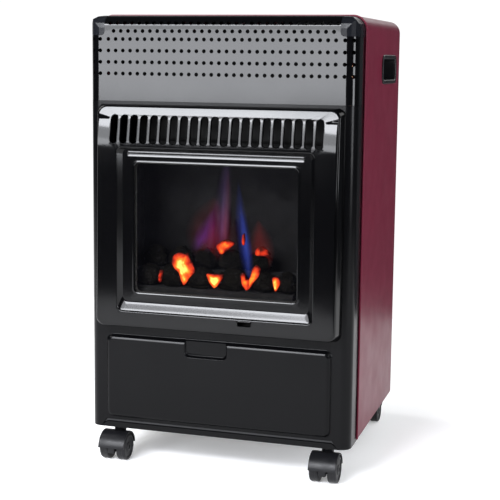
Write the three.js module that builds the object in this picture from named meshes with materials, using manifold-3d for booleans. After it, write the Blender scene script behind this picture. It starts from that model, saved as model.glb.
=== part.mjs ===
// A portable gas cabinet heater on twin-wheel casters, in millimetres, +Z up, front towards -Y.
// The origin is on the floor, under the middle of the whole heater's bounding box.
import * as THREE from "three";
import { mergeVertices } from "three/addons/utils/BufferGeometryUtils.js";
import { LoftGeometry } from "three/addons/geometries/LoftGeometry.js";
import Module from "manifold-3d";

const wasm = await Module();
wasm.setup();

// ---------------------------------------------------------------- driving dimensions
// Cabinet. Y = 0 is the flat front sheet, until the whole group is centred at the end.
const BODY_WIDTH = 420;
const BODY_TOP = 697;
const FRONT_BOTTOM = 55;
const WRAP_BOTTOM = 58;
const WRAP_FRONT = 50;
const SIDE_REAR = 340;
const TOP_RADIUS = 20;
const CORNER_RADIUS = 17;
const SHEET = 1.2;
const SEAT_GAP = 0.3;
const FRONT_RETURN = 62;
const REAR_FLANGE = 14;
const HEM_LENGTH = 4;
const HEM_THICKNESS = 2.4;

// Perforated band under the top bend.
const GRILLE_BOTTOM = 567;
const HOLE_PITCH = 11.74;
const HOLE_RADIUS = 3;
const HOLE_SIDES = 5;
const HOLE_COLUMNS = 31;
const HOLE_ROWS = 4;
const CORNER_COLUMNS = 2;
const CORNER_PITCH = 13.3;
const ROW_PITCH = 17.2;
const LOWEST_ROW_HEIGHT = 608.4;
const STAGGERED_ROW_HEIGHT = 672;
const STAGGERED_ROW_SHIFT = 2.6;
const BEND_ROW_RISE = 12;
const CAP_HEIGHT = 30;
const CAP_WIDTH = 26;
const CAP_CORNER = 6;
const CAP_WALL = 2;

// Fire surround: a pressed frame that stands proud of the front sheet.
const SURROUND_BASE_WIDTH = 386;
const SURROUND_DRAFT = 5;
const SURROUND_PROUD = 24;
const SURROUND_BOTTOM = 219;
const SURROUND_TOP = 563;
const SURROUND_CORNER = 12;
const SURROUND_SHEET = 1.4;
const STRIP_BOTTOM = 498;
const STRIP_SETBACK = 15;
const RECESS_WIDTH = 306;
const RECESS_DRAFT = 6;
const SILL_FRONT = 248;
const SILL_BACK = 262;
const RECESS_CORNER = 8;
const RECESS_DEPTH = 8;
const WINDOW_WIDTH = 256;
const WINDOW_BOTTOM = 276;
const WINDOW_TOP = 475;
const WINDOW_CORNER = 7;
const BEAD_HEIGHT = 487;
const BEAD_LENGTH = 282;
const BEAD_RADIUS = 2.2;
const SLOT_COUNT = 21;
const SLOT_PITCH = 15.9;
const SLOT_WIDTH = 9.6;
const SLOT_BOTTOM = 505;
const SLOT_TOP = 546;
const SLOT_END_SIDES = 3;
const LATCH_SLOT_X = 50;
const LATCH_SLOT_Z = 241;
const LATCH_SLOT_WIDTH = 20;
const LATCH_SLOT_HEIGHT = 6;
const FRONT_OPENING_MARGIN = 24;

// Raised pressing in the lower front, with its finger notch.
const PANEL_WIDTH = 362;
const PANEL_BOTTOM = 72;
const PANEL_TOP = 206;
const PANEL_RAISE = 7;
const PANEL_BEVEL = 8;
const PANEL_CORNER = 12;
const NOTCH_LEFT = -47;
const NOTCH_WIDTH = 62;
const NOTCH_HEIGHT = 24;
const NOTCH_DEPTH = 4.5;
const NOTCH_CORNER = 5;
const NOTCH_SLOPE = 4;
const FOOT_GROOVE_HEIGHT = 66;
const FOOT_GROOVE_RADIUS = 2.5;

// Base pan and rear cover: the space between the partition and the cover takes a bottle.
const BOTTLE_DIAMETER = 300;
const BOTTLE_CLEARANCE = 11;
const PARTITION_DEPTH = 90;
const PARTITION_TOP_GAP = 20;
const PARTITION_RIB_RADIUS = 3;
const PARTITION_RIB_MARGIN = 30;
const BAY_BULGE_WIDTH = 356;
const BAY_BULGE_DRAFT = 10;
const PAN_THICKNESS = 1.5;
const PAN_FLANGE = 16;
const PAN_CORNER = 10;
const PLATFORM_RISE = 2;
const PLATFORM_MARGIN = 8;
const COVER_FOOT = 60;
const COVER_SHEET = 1.4;
const COVER_INSET = 4;
const COVER_TOP = 688;
const COVER_BULGE_TOP = 612;
const COVER_SLOPE = 22;
const LOUVRE_COUNT = 6;
const LOUVRE_PITCH = 14;
const LOUVRE_LENGTH = 88;
const LOUVRE_HEIGHT = 5;
const LOUVRE_SPACING = 104;
const LOW_LOUVRE_HEIGHT = 110;
const HIGH_LOUVRE_HEIGHT = 470;
const PULL_WIDTH = 90;
const PULL_HEIGHT = 22;
const PULL_DEPTH = 12;

// Window, firebox, burner and coals.
const GLASS_THICKNESS = 4;
const GLASS_OVERLAP = 9;
const GASKET_THICKNESS = 3;
const GASKET_WIDTH = 10;
const FIREBOX_WIDTH = 304;
const FIREBOX_BOTTOM = 234;
const FIREBOX_TOP = 496;
const FIREBOX_BACK = 84;
const FLUE_WIDTH = 230;
const FLUE_DEPTH = 30;
const VANE_LIFT = 40;
const VANE_TURN = 60;
const VANE_REACH = 46;
const VANE_TOP_GAP = 6;
const VANE_PIPE_GAP = 4;
const BURNER_RADIUS = 11;
const BURNER_LENGTH = 236;
const BURNER_LIFT = 18;
const BURNER_DEPTH = 40;
const BURNER_MOUTH_REACH = 6;
const BRACKET_MARGIN = 4;
const PORT_COUNT = 11;
const PORT_LENGTH = 12;
const PORT_WIDTH = 2.4;
const TRAY_LEFT = 144;
const TRAY_RIGHT = 116;
const TRAY_FRONT = 6;
const TRAY_BACK = 72;
const TRAY_WALL = 4;
const TRAY_CLEARANCE = 3;
const TRAY_BED = 16;
const TRAY_RISE = 4;
const TRAY_STEP = 24;
const TRAY_SLOT_COUNT = 6;
const TRAY_SLOT_PITCH = 42;
const TRAY_SLOT_LENGTH = 30;
const TRAY_SLOT_WIDTH = 5;
const COAL_RADIUS = 18.5;
const COAL_GAP = 3;
const FRONT_COAL_EDGES = [-141, -99, -60, -11, 45, 87, 122];
const BACK_COAL_EDGES = [-142, -99, -57, -17, 28, 72];
const PILOT_MARGIN = 14;
const PILOT_LEAD = 14;
const THERMOCOUPLE_TRAIL = 15;
const ELECTRODE_TRAIL = 28;

// Carrying handles in the sides.
const HANDLE_CENTRE = 242;
const HANDLE_HEIGHT = 618;
const HANDLE_LENGTH = 112;
const HANDLE_OPENING = 36;
const HANDLE_DEPTH = 26;
const HANDLE_WALL = 2;
const HANDLE_RIM = 5;
const HANDLE_RIM_PROUD = 1.8;

// Control well in the top, with the knob and the igniter button sunk in it.
const WELL_CENTRE_X = 118;
const WELL_CENTRE_Y = 240;
const WELL_LENGTH = 128;
const WELL_BREADTH = 74;
const WELL_DEPTH = 25;
const WELL_CORNER = 14;
const WELL_WALL = 1.8;
const WELL_FLANGE = 6;
const KNOB_OFFSET = -28;
const KNOB_RADIUS = 22;
const KNOB_HEIGHT = 17;
const KNOB_BORE = 14;
const KNOB_GRIPS = 10;
const KNOB_TRAVEL = 4;
const BUTTON_OFFSET = 38;
const BUTTON_RADIUS = 9;
const BUTTON_TRAVEL = 5;
const BUTTON_PROUD = 11;
const SPINDLE_RADIUS = 4;
const RUNNING_GAP = 0.5;
const VALVE_SIZE = 34;
const VALVE_HEIGHT = 42;
const PIEZO_LENGTH = 44;
const PIPE_RADIUS = 4;
const PIPE_STEPS = 40;
const PIPE_INSET = 26;
const PIPE_DROP_Y = 75;
const PIPE_BEND = 16;
const PIPE_DIP = 40;
const PIPE_CLEARANCE = 3;
const PORT_REACH = 11;
const NOZZLE_RADIUS = 4.5;
const NOZZLE_LENGTH = 34;
const NOZZLE_BARBS = 3;

// Casters.
const WHEEL_RADIUS = 21;
const WHEEL_WIDTH = 15;
const WHEEL_SIDES = 16;
const WEB_THICKNESS = 12;
const WHEEL_GAP = 0.6;
const HOOD_THICKNESS = 3;
const HOOD_SIDES = 14;
const HOOD_GAP = 1.6;
const AXLE_RADIUS = 3;
const CASTER_TRAIL = 16;
const STEM_RADIUS = 5;
const STEM_LENGTH = 22;
const SOCKET_WALL = 2.4;
const SOCKET_FLANGE = 1.6;
const SWIVEL_GAP = 1;
const CASTER_INSET = 40;
const FRONT_STEM = 28;
const REAR_STEM_INSET = 15;

// ---------------------------------------------------------------- derived places
const HALF_WIDTH = BODY_WIDTH / 2;
const PIPE_DROP_X = HALF_WIDTH - PIPE_INSET;
const SKIN_INSET = SHEET + SEAT_GAP;
const FRONT_HALF = HALF_WIDTH - SKIN_INSET;
const FRONT_TOP = BODY_TOP - SKIN_INSET;
const FRONT_TOP_RADIUS = TOP_RADIUS - SKIN_INSET;
const AXLE_HEIGHT = WHEEL_RADIUS * Math.cos(Math.PI / WHEEL_SIDES);
const PAN_BOTTOM = WRAP_BOTTOM - PAN_THICKNESS;
const PAN_TOP = WRAP_BOTTOM;
const BAY_BACK = PARTITION_DEPTH + BOTTLE_DIAMETER + BOTTLE_CLEARANCE;
const COVER_SEAT = SIDE_REAR + SEAT_GAP;
const COVER_BACK = BAY_BACK + PAN_THICKNESS + SEAT_GAP * 4 + COVER_SHEET;
const RECESS_BACK = RECESS_DEPTH - SURROUND_PROUD;
const GLASS_FRONT = RECESS_BACK + SURROUND_SHEET + SEAT_GAP;
const BURNER_HEIGHT = FIREBOX_BOTTOM + BURNER_LIFT;
const BURNER_MOUTH = FIREBOX_WIDTH / 2 + BURNER_MOUTH_REACH;
const TRAY_BOTTOM = BURNER_HEIGHT + BURNER_RADIUS + TRAY_CLEARANCE;
const TRAY_TOP = TRAY_BOTTOM + TRAY_BED;
const CASTER_SPREAD = HALF_WIDTH - CASTER_INSET;
const REAR_STEM = SIDE_REAR - REAR_STEM_INSET;
const GASKET_FRONT = GLASS_FRONT + GLASS_THICKNESS + SEAT_GAP;
const FIREBOX_FRONT = GASKET_FRONT + GASKET_THICKNESS + SEAT_GAP;
const WELL_FLOOR = BODY_TOP - SHEET - SEAT_GAP - WELL_DEPTH;
const KNOB_X = WELL_CENTRE_X + KNOB_OFFSET;
const KNOB_BASE = WELL_FLOOR + KNOB_TRAVEL + RUNNING_GAP;
const BUTTON_X = WELL_CENTRE_X + BUTTON_OFFSET;
const VALVE_TOP = WELL_FLOOR - WELL_WALL - SEAT_GAP;
const PIPE_HEIGHT = VALVE_TOP - VALVE_HEIGHT * 0.6;
const MIDDLE_Y = (COVER_BACK - SURROUND_PROUD) / 2;
const FAR = 1000;

// ---------------------------------------------------------------- solids
// A closed geometry as a solid for joining and cutting, turned to face outwards.
function solid(geometry) {
  const bare = new THREE.BufferGeometry();
  bare.setAttribute("position", geometry.getAttribute("position"));
  bare.setIndex(geometry.getIndex());
  const merged = mergeVertices(bare, 1e-4);
  const vertProperties = merged.attributes.position.array;
  const triVerts = new Uint32Array(merged.index.array);
  const made = new wasm.Manifold(new wasm.Mesh({ numProp: 3, vertProperties, triVerts }));
  if (made.volume() >= 0) return made;
  triVerts.reverse();
  return new wasm.Manifold(new wasm.Mesh({ numProp: 3, vertProperties, triVerts }));
}

function join(first, ...others) {
  return others.reduce((whole, piece) => whole.add(piece), first);
}

function cut(first, ...others) {
  return others.reduce((whole, piece) => whole.subtract(piece), first);
}

function common(first, ...others) {
  return others.reduce((whole, piece) => whole.intersect(piece), first);
}

function geometryOf(piece) {
  const mesh = piece.getMesh();
  const positions = new Float32Array(mesh.numVert * 3);
  for (let i = 0; i < mesh.numVert; i++) {
    for (let k = 0; k < 3; k++) positions[3 * i + k] = mesh.vertProperties[mesh.numProp * i + k];
  }
  const geometry = new THREE.BufferGeometry();
  geometry.setAttribute("position", new THREE.BufferAttribute(positions, 3));
  geometry.setIndex(new THREE.BufferAttribute(new Uint32Array(mesh.triVerts), 1));
  return geometry;
}

function block(x0, x1, y0, y1, z0, z1) {
  const geometry = new THREE.BoxGeometry(x1 - x0, y1 - y0, z1 - z0);
  geometry.translate((x0 + x1) / 2, (y0 + y1) / 2, (z0 + z1) / 2);
  return solid(geometry);
}

function extruded(shape, depth, curveSegments) {
  return new THREE.ExtrudeGeometry(shape, { depth, curveSegments, bevelEnabled: false });
}

// A shape drawn in X and Z, running from y0 to y1.
function alongY(shape, y0, y1, curveSegments = 2) {
  const geometry = extruded(shape, y1 - y0, curveSegments);
  geometry.rotateX(Math.PI / 2);
  geometry.translate(0, y1, 0);
  return solid(geometry);
}

// A shape drawn in Y and Z, running from x0 to x1.
function alongX(shape, x0, x1, curveSegments = 2) {
  const geometry = extruded(shape, x1 - x0, curveSegments);
  const turn = new THREE.Matrix4().set(0, 0, 1, x0, 1, 0, 0, 0, 0, 1, 0, 0, 0, 0, 0, 1);
  geometry.applyMatrix4(turn);
  return solid(geometry);
}

// A shape drawn in X and Y, running from z0 to z1.
function alongZ(shape, z0, z1, curveSegments = 2) {
  const geometry = extruded(shape, z1 - z0, curveSegments);
  geometry.translate(0, 0, z0);
  return solid(geometry);
}

// A rod along one axis, centred on the given point.
function rod(axis, radius, length, centre, sides = 12) {
  const geometry = new THREE.CylinderGeometry(radius, radius, length, sides);
  if (axis === "x") geometry.rotateZ(Math.PI / 2);
  if (axis === "z") geometry.rotateX(Math.PI / 2);
  geometry.translate(...centre);
  return solid(geometry);
}

// A profile of [radius, height] pairs turned about a vertical axis through the given point.
function turned(profile, centre, sides, start = 0) {
  const points = profile.map(([radius, height]) => new THREE.Vector2(radius, height));
  const geometry = new THREE.LatheGeometry(points, sides, start);
  geometry.rotateX(Math.PI / 2);
  geometry.translate(...centre);
  return geometry;
}

// A rectangle with its own radius at each corner: low left, low right, high right, high left.
function roundedShape(a0, a1, b0, b1, radii) {
  const [lowLeft, lowRight, highRight, highLeft] = radii;
  const shape = new THREE.Shape();
  shape.moveTo(a0 + lowLeft, b0);
  shape.lineTo(a1 - lowRight, b0);
  if (lowRight > 0) shape.absarc(a1 - lowRight, b0 + lowRight, lowRight, -Math.PI / 2, 0);
  shape.lineTo(a1, b1 - highRight);
  if (highRight > 0) shape.absarc(a1 - highRight, b1 - highRight, highRight, 0, Math.PI / 2);
  shape.lineTo(a0 + highLeft, b1);
  if (highLeft > 0) shape.absarc(a0 + highLeft, b1 - highLeft, highLeft, Math.PI / 2, Math.PI);
  shape.lineTo(a0, b0 + lowLeft);
  if (lowLeft > 0) shape.absarc(a0 + lowLeft, b0 + lowLeft, lowLeft, Math.PI, Math.PI * 1.5);
  return shape;
}

function roundedAll(a0, a1, b0, b1, radius) {
  return roundedShape(a0, a1, b0, b1, [radius, radius, radius, radius]);
}

// A shape through straight corner points, given as [a, b] pairs.
function outline(points) {
  return new THREE.Shape(points.map(([a, b]) => new THREE.Vector2(a, b)));
}

// A rounded rectangle as a ring of points that lies at depth y, for lofting.
function ring(x0, x1, z0, z1, radius, y) {
  const points = roundedAll(x0, x1, z0, z1, radius).getPoints(1);
  const open = points.filter((p, i) => i === 0 || p.distanceTo(points[i - 1]) > 1e-6);
  if (open[0].distanceTo(open[open.length - 1]) < 1e-6) open.pop();
  return open.map((p) => new THREE.Vector3(p.x, y, p.y));
}

// A solid skinned over rings that follow one another along Y, either way.
function loft(...rings) {
  const backwards = rings[rings.length - 1][0].y > rings[0][0].y;
  const sections = backwards ? rings.map((points) => [...points].reverse()) : rings;
  return solid(new LoftGeometry(sections, { capStart: true, capEnd: true }));
}

// ---------------------------------------------------------------- finishes
function finish(color, roughness, metalness) {
  return { color, roughness, metalness };
}
const RED_ENAMEL = finish(0x6e3040, 0.35, 0.1);
const BLACK_ENAMEL = finish(0x0c0c0e, 0.18, 0.1);
const SATIN_BLACK = finish(0x1b1b1d, 0.45, 0.1);
const GREY_PLASTIC = finish(0x33353a, 0.4, 0);
const BLACK_PLASTIC = finish(0x151517, 0.5, 0);
const TYRE_PLASTIC = finish(0x26272b, 0.6, 0);
const DARK_GLASS = finish(0x101012, 0.05, 0);
const FIBRE = finish(0xb9b2a4, 0.95, 0);
const STEEL = finish(0x8b8d90, 0.4, 0.9);
const BRASS = finish(0xb08d4a, 0.35, 0.9);
const COPPER = finish(0xa8654a, 0.35, 0.9);
const CERAMIC = finish(0x3a3226, 0.95, 0);
const WHITE_CERAMIC = finish(0xe4e0d6, 0.5, 0);

const heater = new THREE.Group();

function place(name, piece, look) {
  const geometry = piece.isBufferGeometry ? piece : geometryOf(piece);
  const mesh = new THREE.Mesh(geometry, new THREE.MeshStandardMaterial(look));
  mesh.name = name;
  heater.add(mesh);
  return mesh;
}

// ---------------------------------------------------------------- wrap
// Both sides and the top are one bent sheet, open at the front, the back and the bottom.
function archShape(inset, bottom) {
  const half = HALF_WIDTH - inset;
  const radius = Math.max(TOP_RADIUS - inset, 1);
  return roundedShape(-half, half, bottom, BODY_TOP - inset, [0, 0, radius, radius]);
}

function arch(inset, thickness, y0, y1) {
  const outside = alongY(archShape(inset, WRAP_BOTTOM), y0, y1);
  return cut(outside, alongY(archShape(inset + thickness, WRAP_BOTTOM - FAR), y0 - 1, y1 + 1));
}

function handleOpening(side) {
  const shape = roundedAll(
    HANDLE_CENTRE - HANDLE_LENGTH / 2,
    HANDLE_CENTRE + HANDLE_LENGTH / 2,
    HANDLE_HEIGHT - HANDLE_OPENING / 2,
    HANDLE_HEIGHT + HANDLE_OPENING / 2,
    HANDLE_OPENING / 4,
  );
  const middle = side * HALF_WIDTH;
  return alongX(shape, middle - 3 * SHEET, middle + 3 * SHEET, 1);
}

function wellShape(inset) {
  return roundedAll(
    WELL_CENTRE_X - WELL_LENGTH / 2 + inset,
    WELL_CENTRE_X + WELL_LENGTH / 2 - inset,
    WELL_CENTRE_Y - WELL_BREADTH / 2 + inset,
    WELL_CENTRE_Y + WELL_BREADTH / 2 - inset,
    WELL_CORNER - inset,
  );
}

function makeWrap() {
  const sheet = arch(0, SHEET, WRAP_FRONT, SIDE_REAR);
  const hem = arch(SHEET - HEM_THICKNESS, HEM_THICKNESS, WRAP_FRONT, WRAP_FRONT + HEM_LENGTH);
  const flange = arch(0, REAR_FLANGE, SIDE_REAR - SHEET, SIDE_REAR);
  const topCut = alongZ(wellShape(0), BODY_TOP - 3 * SHEET, BODY_TOP + SHEET, 1);
  return cut(join(sheet, hem, flange), handleOpening(-1), handleOpening(1), topCut);
}

// ---------------------------------------------------------------- front sheets
// The front is one pressed skin with rounded upright corners and a rounded top edge. It is a
// body drawn in plan, from the front and from the side, less the same body drawn smaller.
function frontBody(inset, bottom, back) {
  const half = FRONT_HALF - inset;
  const corner = CORNER_RADIUS - inset;
  const bend = FRONT_TOP_RADIUS - inset;
  const top = FRONT_TOP - inset;
  const plan = roundedShape(-half, half, inset, back, [corner, corner, 0, 0]);
  const face = roundedShape(-half, half, bottom, top, [0, 0, bend, bend]);
  const side = roundedShape(inset, back, bottom, top, [0, 0, 0, bend]);
  return common(
    alongZ(plan, bottom, top),
    alongY(face, inset, back),
    alongX(side, -half, half),
  );
}

function frontSkin(thickness) {
  const inside = frontBody(thickness, FRONT_BOTTOM - 1, FRONT_RETURN + 1);
  return cut(frontBody(0, FRONT_BOTTOM, FRONT_RETURN), inside);
}

// The two top corners of the skin, where plastic caps take the place of the sheet.
function cornerZone(side, gap) {
  const inner = FRONT_HALF - CAP_WIDTH + gap;
  const low = FRONT_TOP - CAP_HEIGHT + gap;
  const x0 = side > 0 ? inner : -FAR;
  const x1 = side > 0 ? FAR : -inner;
  const radii = side > 0 ? [CAP_CORNER, 0, 0, 0] : [0, CAP_CORNER, 0, 0];
  return alongY(roundedShape(x0, x1, low, FAR, radii), -FAR, FAR);
}

// One round hole through the front sheet. Past the start of a rounded corner or of the top
// bend, a distance along the sheet becomes an angle round the bend.
function punch() {
  return new THREE.CylinderGeometry(HOLE_RADIUS, HOLE_RADIUS, 4 * SHEET, HOLE_SIDES);
}

function frontHole(along, z) {
  const flat = FRONT_HALF - CORNER_RADIUS;
  const angle = Math.max(Math.abs(along) - flat, 0) / CORNER_RADIUS;
  const side = Math.sign(along);
  const geometry = punch();
  geometry.translate(0, -(CORNER_RADIUS - SHEET / 2), 0);
  geometry.rotateZ(side * angle);
  geometry.translate(side * Math.min(Math.abs(along), flat), CORNER_RADIUS, z);
  return solid(geometry);
}

function bendHole(x, along) {
  const flat = FRONT_TOP - FRONT_TOP_RADIUS;
  const geometry = punch();
  geometry.translate(0, -(FRONT_TOP_RADIUS - SHEET / 2), 0);
  geometry.rotateX(-(along - flat) / FRONT_TOP_RADIUS);
  geometry.translate(x, FRONT_TOP_RADIUS, flat);
  return solid(geometry);
}

function perforations() {
  const holes = [];
  const reach = ((HOLE_COLUMNS - 1) / 2) * HOLE_PITCH;
  for (let row = 0; row < HOLE_ROWS; row++) {
    const z = LOWEST_ROW_HEIGHT + row * ROW_PITCH;
    for (let i = 0; i < HOLE_COLUMNS; i++) holes.push(frontHole(i * HOLE_PITCH - reach, z));
    for (let i = 1; i <= CORNER_COLUMNS; i++) {
      holes.push(frontHole(reach + i * CORNER_PITCH, z));
      holes.push(frontHole(-reach - i * CORNER_PITCH, z));
    }
  }
  for (let i = 0; i < HOLE_COLUMNS; i++) {
    const x = i * HOLE_PITCH - reach + STAGGERED_ROW_SHIFT;
    if (i > 0) holes.push(frontHole(x - HOLE_PITCH / 2, STAGGERED_ROW_HEIGHT));
    holes.push(bendHole(x, STAGGERED_ROW_HEIGHT + BEND_ROW_RISE));
  }
  return holes;
}

function makeGrille() {
  const below = block(-FAR, FAR, -FAR, FAR, -FAR, GRILLE_BOTTOM + SEAT_GAP);
  const sheet = cut(frontSkin(SHEET), below, cornerZone(-1, 0), cornerZone(1, 0));
  return cut(sheet, ...perforations());
}

function makeCornerCap(side) {
  return common(frontSkin(CAP_WALL), cornerZone(side, SEAT_GAP));
}

// The raised pressing is a drafted block on the front face, hollow behind.
function pressedPad(inset, base) {
  const half = PANEL_WIDTH / 2 - inset;
  const low = PANEL_BOTTOM + inset;
  const high = PANEL_TOP - inset;
  const top = inset - PANEL_RAISE;
  const corner = PANEL_CORNER;
  const slope = PANEL_BEVEL;
  return loft(
    ring(-half, half, low, high, corner, base),
    ring(-half, half, low, high, corner, 0),
    ring(-half + slope, half - slope, low + slope, high - slope, corner - slope / 2, top),
  );
}

function notchZone(inset) {
  const x0 = NOTCH_LEFT - inset;
  const x1 = NOTCH_LEFT + NOTCH_WIDTH + inset;
  const z0 = PANEL_TOP - NOTCH_HEIGHT - inset;
  const z1 = PANEL_TOP + PANEL_BEVEL;
  const slope = NOTCH_SLOPE;
  const floor = inset + NOTCH_DEPTH - PANEL_RAISE;
  return loft(
    ring(x0, x1, z0, z1, NOTCH_CORNER, -2 * PANEL_RAISE),
    ring(x0, x1, z0, z1, NOTCH_CORNER, inset - PANEL_RAISE),
    ring(x0 + slope, x1 - slope, z0 + slope, z1, NOTCH_CORNER, floor),
  );
}

function makeFrontFrame() {
  const above = block(-FAR, FAR, -FAR, FAR, GRILLE_BOTTOM, FAR);
  const flat = cut(frontSkin(SHEET), above);
  const openingHalf = SURROUND_BASE_WIDTH / 2 - FRONT_OPENING_MARGIN;
  const opening = alongY(
    roundedAll(
      -openingHalf,
      openingHalf,
      SURROUND_BOTTOM + FRONT_OPENING_MARGIN / 2,
      SURROUND_TOP - FRONT_OPENING_MARGIN / 2,
      SURROUND_CORNER,
    ),
    -SHEET,
    3 * SHEET,
    1,
  );
  const skinPad = cut(pressedPad(0, SHEET), notchZone(0));
  const hollow = cut(pressedPad(SHEET, 2 * SHEET), notchZone(SHEET));
  const groove = rod("x", FOOT_GROOVE_RADIUS, PANEL_WIDTH, [0, -SHEET, FOOT_GROOVE_HEIGHT], 10);
  return cut(join(flat, skinPad), hollow, opening, groove);
}

// ---------------------------------------------------------------- fire surround
// The frame's outer form: drafted walls, and an upper strip that leans back. The strip's edge
// and the recess are cut from it, then the same form drawn smaller makes it a pressed shell.
function surroundBody(inset, back) {
  const base = SURROUND_BASE_WIDTH / 2 - inset;
  const front = base - SURROUND_DRAFT;
  const corner = SURROUND_CORNER - inset;
  const low = SURROUND_BOTTOM + inset;
  const high = SURROUND_TOP - inset;
  const whole = loft(
    ring(-base, base, low, high, corner, back),
    ring(-base, base, low, high, corner, -SEAT_GAP),
    ring(-front, front, low + SURROUND_DRAFT, high - 3, corner, inset - SURROUND_PROUD),
  );
  const lean = outline([
    [-FAR, STRIP_BOTTOM],
    [inset - SURROUND_PROUD, STRIP_BOTTOM],
    [inset - SURROUND_PROUD + STRIP_SETBACK, SURROUND_TOP],
    [inset - SURROUND_PROUD + STRIP_SETBACK, FAR],
    [-FAR, FAR],
  ]);
  return cut(whole, alongX(lean, -FAR, FAR));
}

// The recess narrows towards the window, and its floor is the sloping sill.
function recess(grow, front, back) {
  const half = RECESS_WIDTH / 2 + grow;
  const inner = half - RECESS_DRAFT;
  const low = SILL_FRONT - grow;
  const lowBack = SILL_BACK - grow;
  const high = STRIP_BOTTOM + grow;
  const mouth = -SURROUND_PROUD;
  return join(
    loft(
      ring(-half, half, low, high, RECESS_CORNER, mouth),
      ring(-inner, inner, lowBack, high - 2, RECESS_CORNER, back),
    ),
    loft(
      ring(-half, half, low, high, RECESS_CORNER, front),
      ring(-half, half, low, high, RECESS_CORNER, mouth + 0.01),
    ),
  );
}

// An upright slot with round ends, each end drawn as a few straight sides.
function slotShape(x) {
  const radius = SLOT_WIDTH / 2;
  const points = [];
  for (const [z, start] of [[SLOT_TOP - radius, 0], [SLOT_BOTTOM + radius, Math.PI]]) {
    for (let i = 0; i <= SLOT_END_SIDES; i++) {
      const angle = start + (i * Math.PI) / SLOT_END_SIDES;
      points.push([x + radius * Math.cos(angle), z + radius * Math.sin(angle)]);
    }
  }
  return outline(points);
}

function ventSlots() {
  const slots = [];
  for (let i = 0; i < SLOT_COUNT; i++) {
    const x = (i - (SLOT_COUNT - 1) / 2) * SLOT_PITCH;
    slots.push(alongY(slotShape(x), -SURROUND_PROUD - 2, -SEAT_GAP));
  }
  return slots;
}

function windowShape(grow) {
  return roundedAll(
    -WINDOW_WIDTH / 2 - grow,
    WINDOW_WIDTH / 2 + grow,
    WINDOW_BOTTOM - grow,
    WINDOW_TOP + grow,
    WINDOW_CORNER + grow / 2,
  );
}

function makeSurround() {
  const sheet = SURROUND_SHEET;
  const shell = cut(surroundBody(0, -SEAT_GAP / 2), surroundBody(sheet, sheet));
  const pan = cut(
    common(
      recess(sheet, -SURROUND_PROUD + 0.02, RECESS_BACK + sheet),
      block(-FAR, FAR, -SURROUND_PROUD, FAR, -FAR, FAR),
    ),
    recess(0, -SURROUND_PROUD - 1, RECESS_BACK),
  );
  const open = cut(shell, recess(0, -SURROUND_PROUD - 1, RECESS_BACK));
  const window = alongY(windowShape(0), -SURROUND_PROUD, RECESS_BACK + 3 * sheet, 1);
  const latch = block(
    LATCH_SLOT_X - LATCH_SLOT_WIDTH / 2,
    LATCH_SLOT_X + LATCH_SLOT_WIDTH / 2,
    -SURROUND_PROUD - 1,
    -SURROUND_PROUD + 3 * sheet,
    LATCH_SLOT_Z - LATCH_SLOT_HEIGHT / 2,
    LATCH_SLOT_Z + LATCH_SLOT_HEIGHT / 2,
  );
  const bead = rod("x", BEAD_RADIUS, BEAD_LENGTH, [0, RECESS_BACK, BEAD_HEIGHT], 10);
  return cut(join(open, pan, bead), window, latch, ...ventSlots());
}

// ---------------------------------------------------------------- window and firebox
function makeGlass() {
  return alongY(windowShape(GLASS_OVERLAP), GLASS_FRONT, GLASS_FRONT + GLASS_THICKNESS, 1);
}

function makeGasket() {
  const outside = alongY(windowShape(GLASS_OVERLAP), GASKET_FRONT, GASKET_FRONT + GASKET_THICKNESS, 1);
  const inside = windowShape(GLASS_OVERLAP - GASKET_WIDTH);
  return cut(outside, alongY(inside, GASKET_FRONT - 1, FAR, 1));
}

function makeFirebox() {
  const half = FIREBOX_WIDTH / 2;
  const bottom = FIREBOX_BOTTOM;
  const outside = block(-half, half, FIREBOX_FRONT, FIREBOX_BACK, bottom, FIREBOX_TOP);
  const inside = block(
    -half + SHEET,
    half - SHEET,
    FIREBOX_FRONT + SHEET,
    FIREBOX_BACK - SHEET,
    bottom + SHEET,
    FIREBOX_TOP - SHEET,
  );
  const window = alongY(windowShape(0), FIREBOX_FRONT - SHEET, FIREBOX_FRONT + 2 * SHEET, 1);
  const flueMiddle = (FIREBOX_FRONT + FIREBOX_BACK) / 2;
  const flue = block(
    -FLUE_WIDTH / 2,
    FLUE_WIDTH / 2,
    flueMiddle - FLUE_DEPTH / 2,
    flueMiddle + FLUE_DEPTH / 2,
    FIREBOX_TOP - 2 * SHEET,
    FIREBOX_TOP + SHEET,
  );
  const inlet = rod(
    "x",
    PIPE_RADIUS + PIPE_CLEARANCE,
    4 * SHEET,
    [half, BURNER_DEPTH, BURNER_HEIGHT],
    12,
  );
  return cut(outside, inside, window, flue, inlet);
}

function makeBurner() {
  const tube = rod("x", BURNER_RADIUS, BURNER_LENGTH, [0, BURNER_DEPTH, BURNER_HEIGHT], 14);
  const start = BURNER_LENGTH / 2 - 1;
  const mouth = rod(
    "x",
    PIPE_RADIUS + PIPE_CLEARANCE / 2,
    BURNER_MOUTH - start,
    [(BURNER_MOUTH + start) / 2, BURNER_DEPTH, BURNER_HEIGHT],
    12,
  );
  const ports = [];
  const pitch = (BURNER_LENGTH - 2 * BURNER_RADIUS) / (PORT_COUNT - 1);
  for (let i = 0; i < PORT_COUNT; i++) {
    const x = (i - (PORT_COUNT - 1) / 2) * pitch;
    ports.push(
      block(
        x - PORT_WIDTH / 2,
        x + PORT_WIDTH / 2,
        BURNER_DEPTH - PORT_LENGTH / 2,
        BURNER_DEPTH + PORT_LENGTH / 2,
        BURNER_HEIGHT + BURNER_RADIUS - 4,
        BURNER_HEIGHT + BURNER_RADIUS + 1,
      ),
    );
  }
  return cut(join(tube, mouth), ...ports);
}

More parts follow.
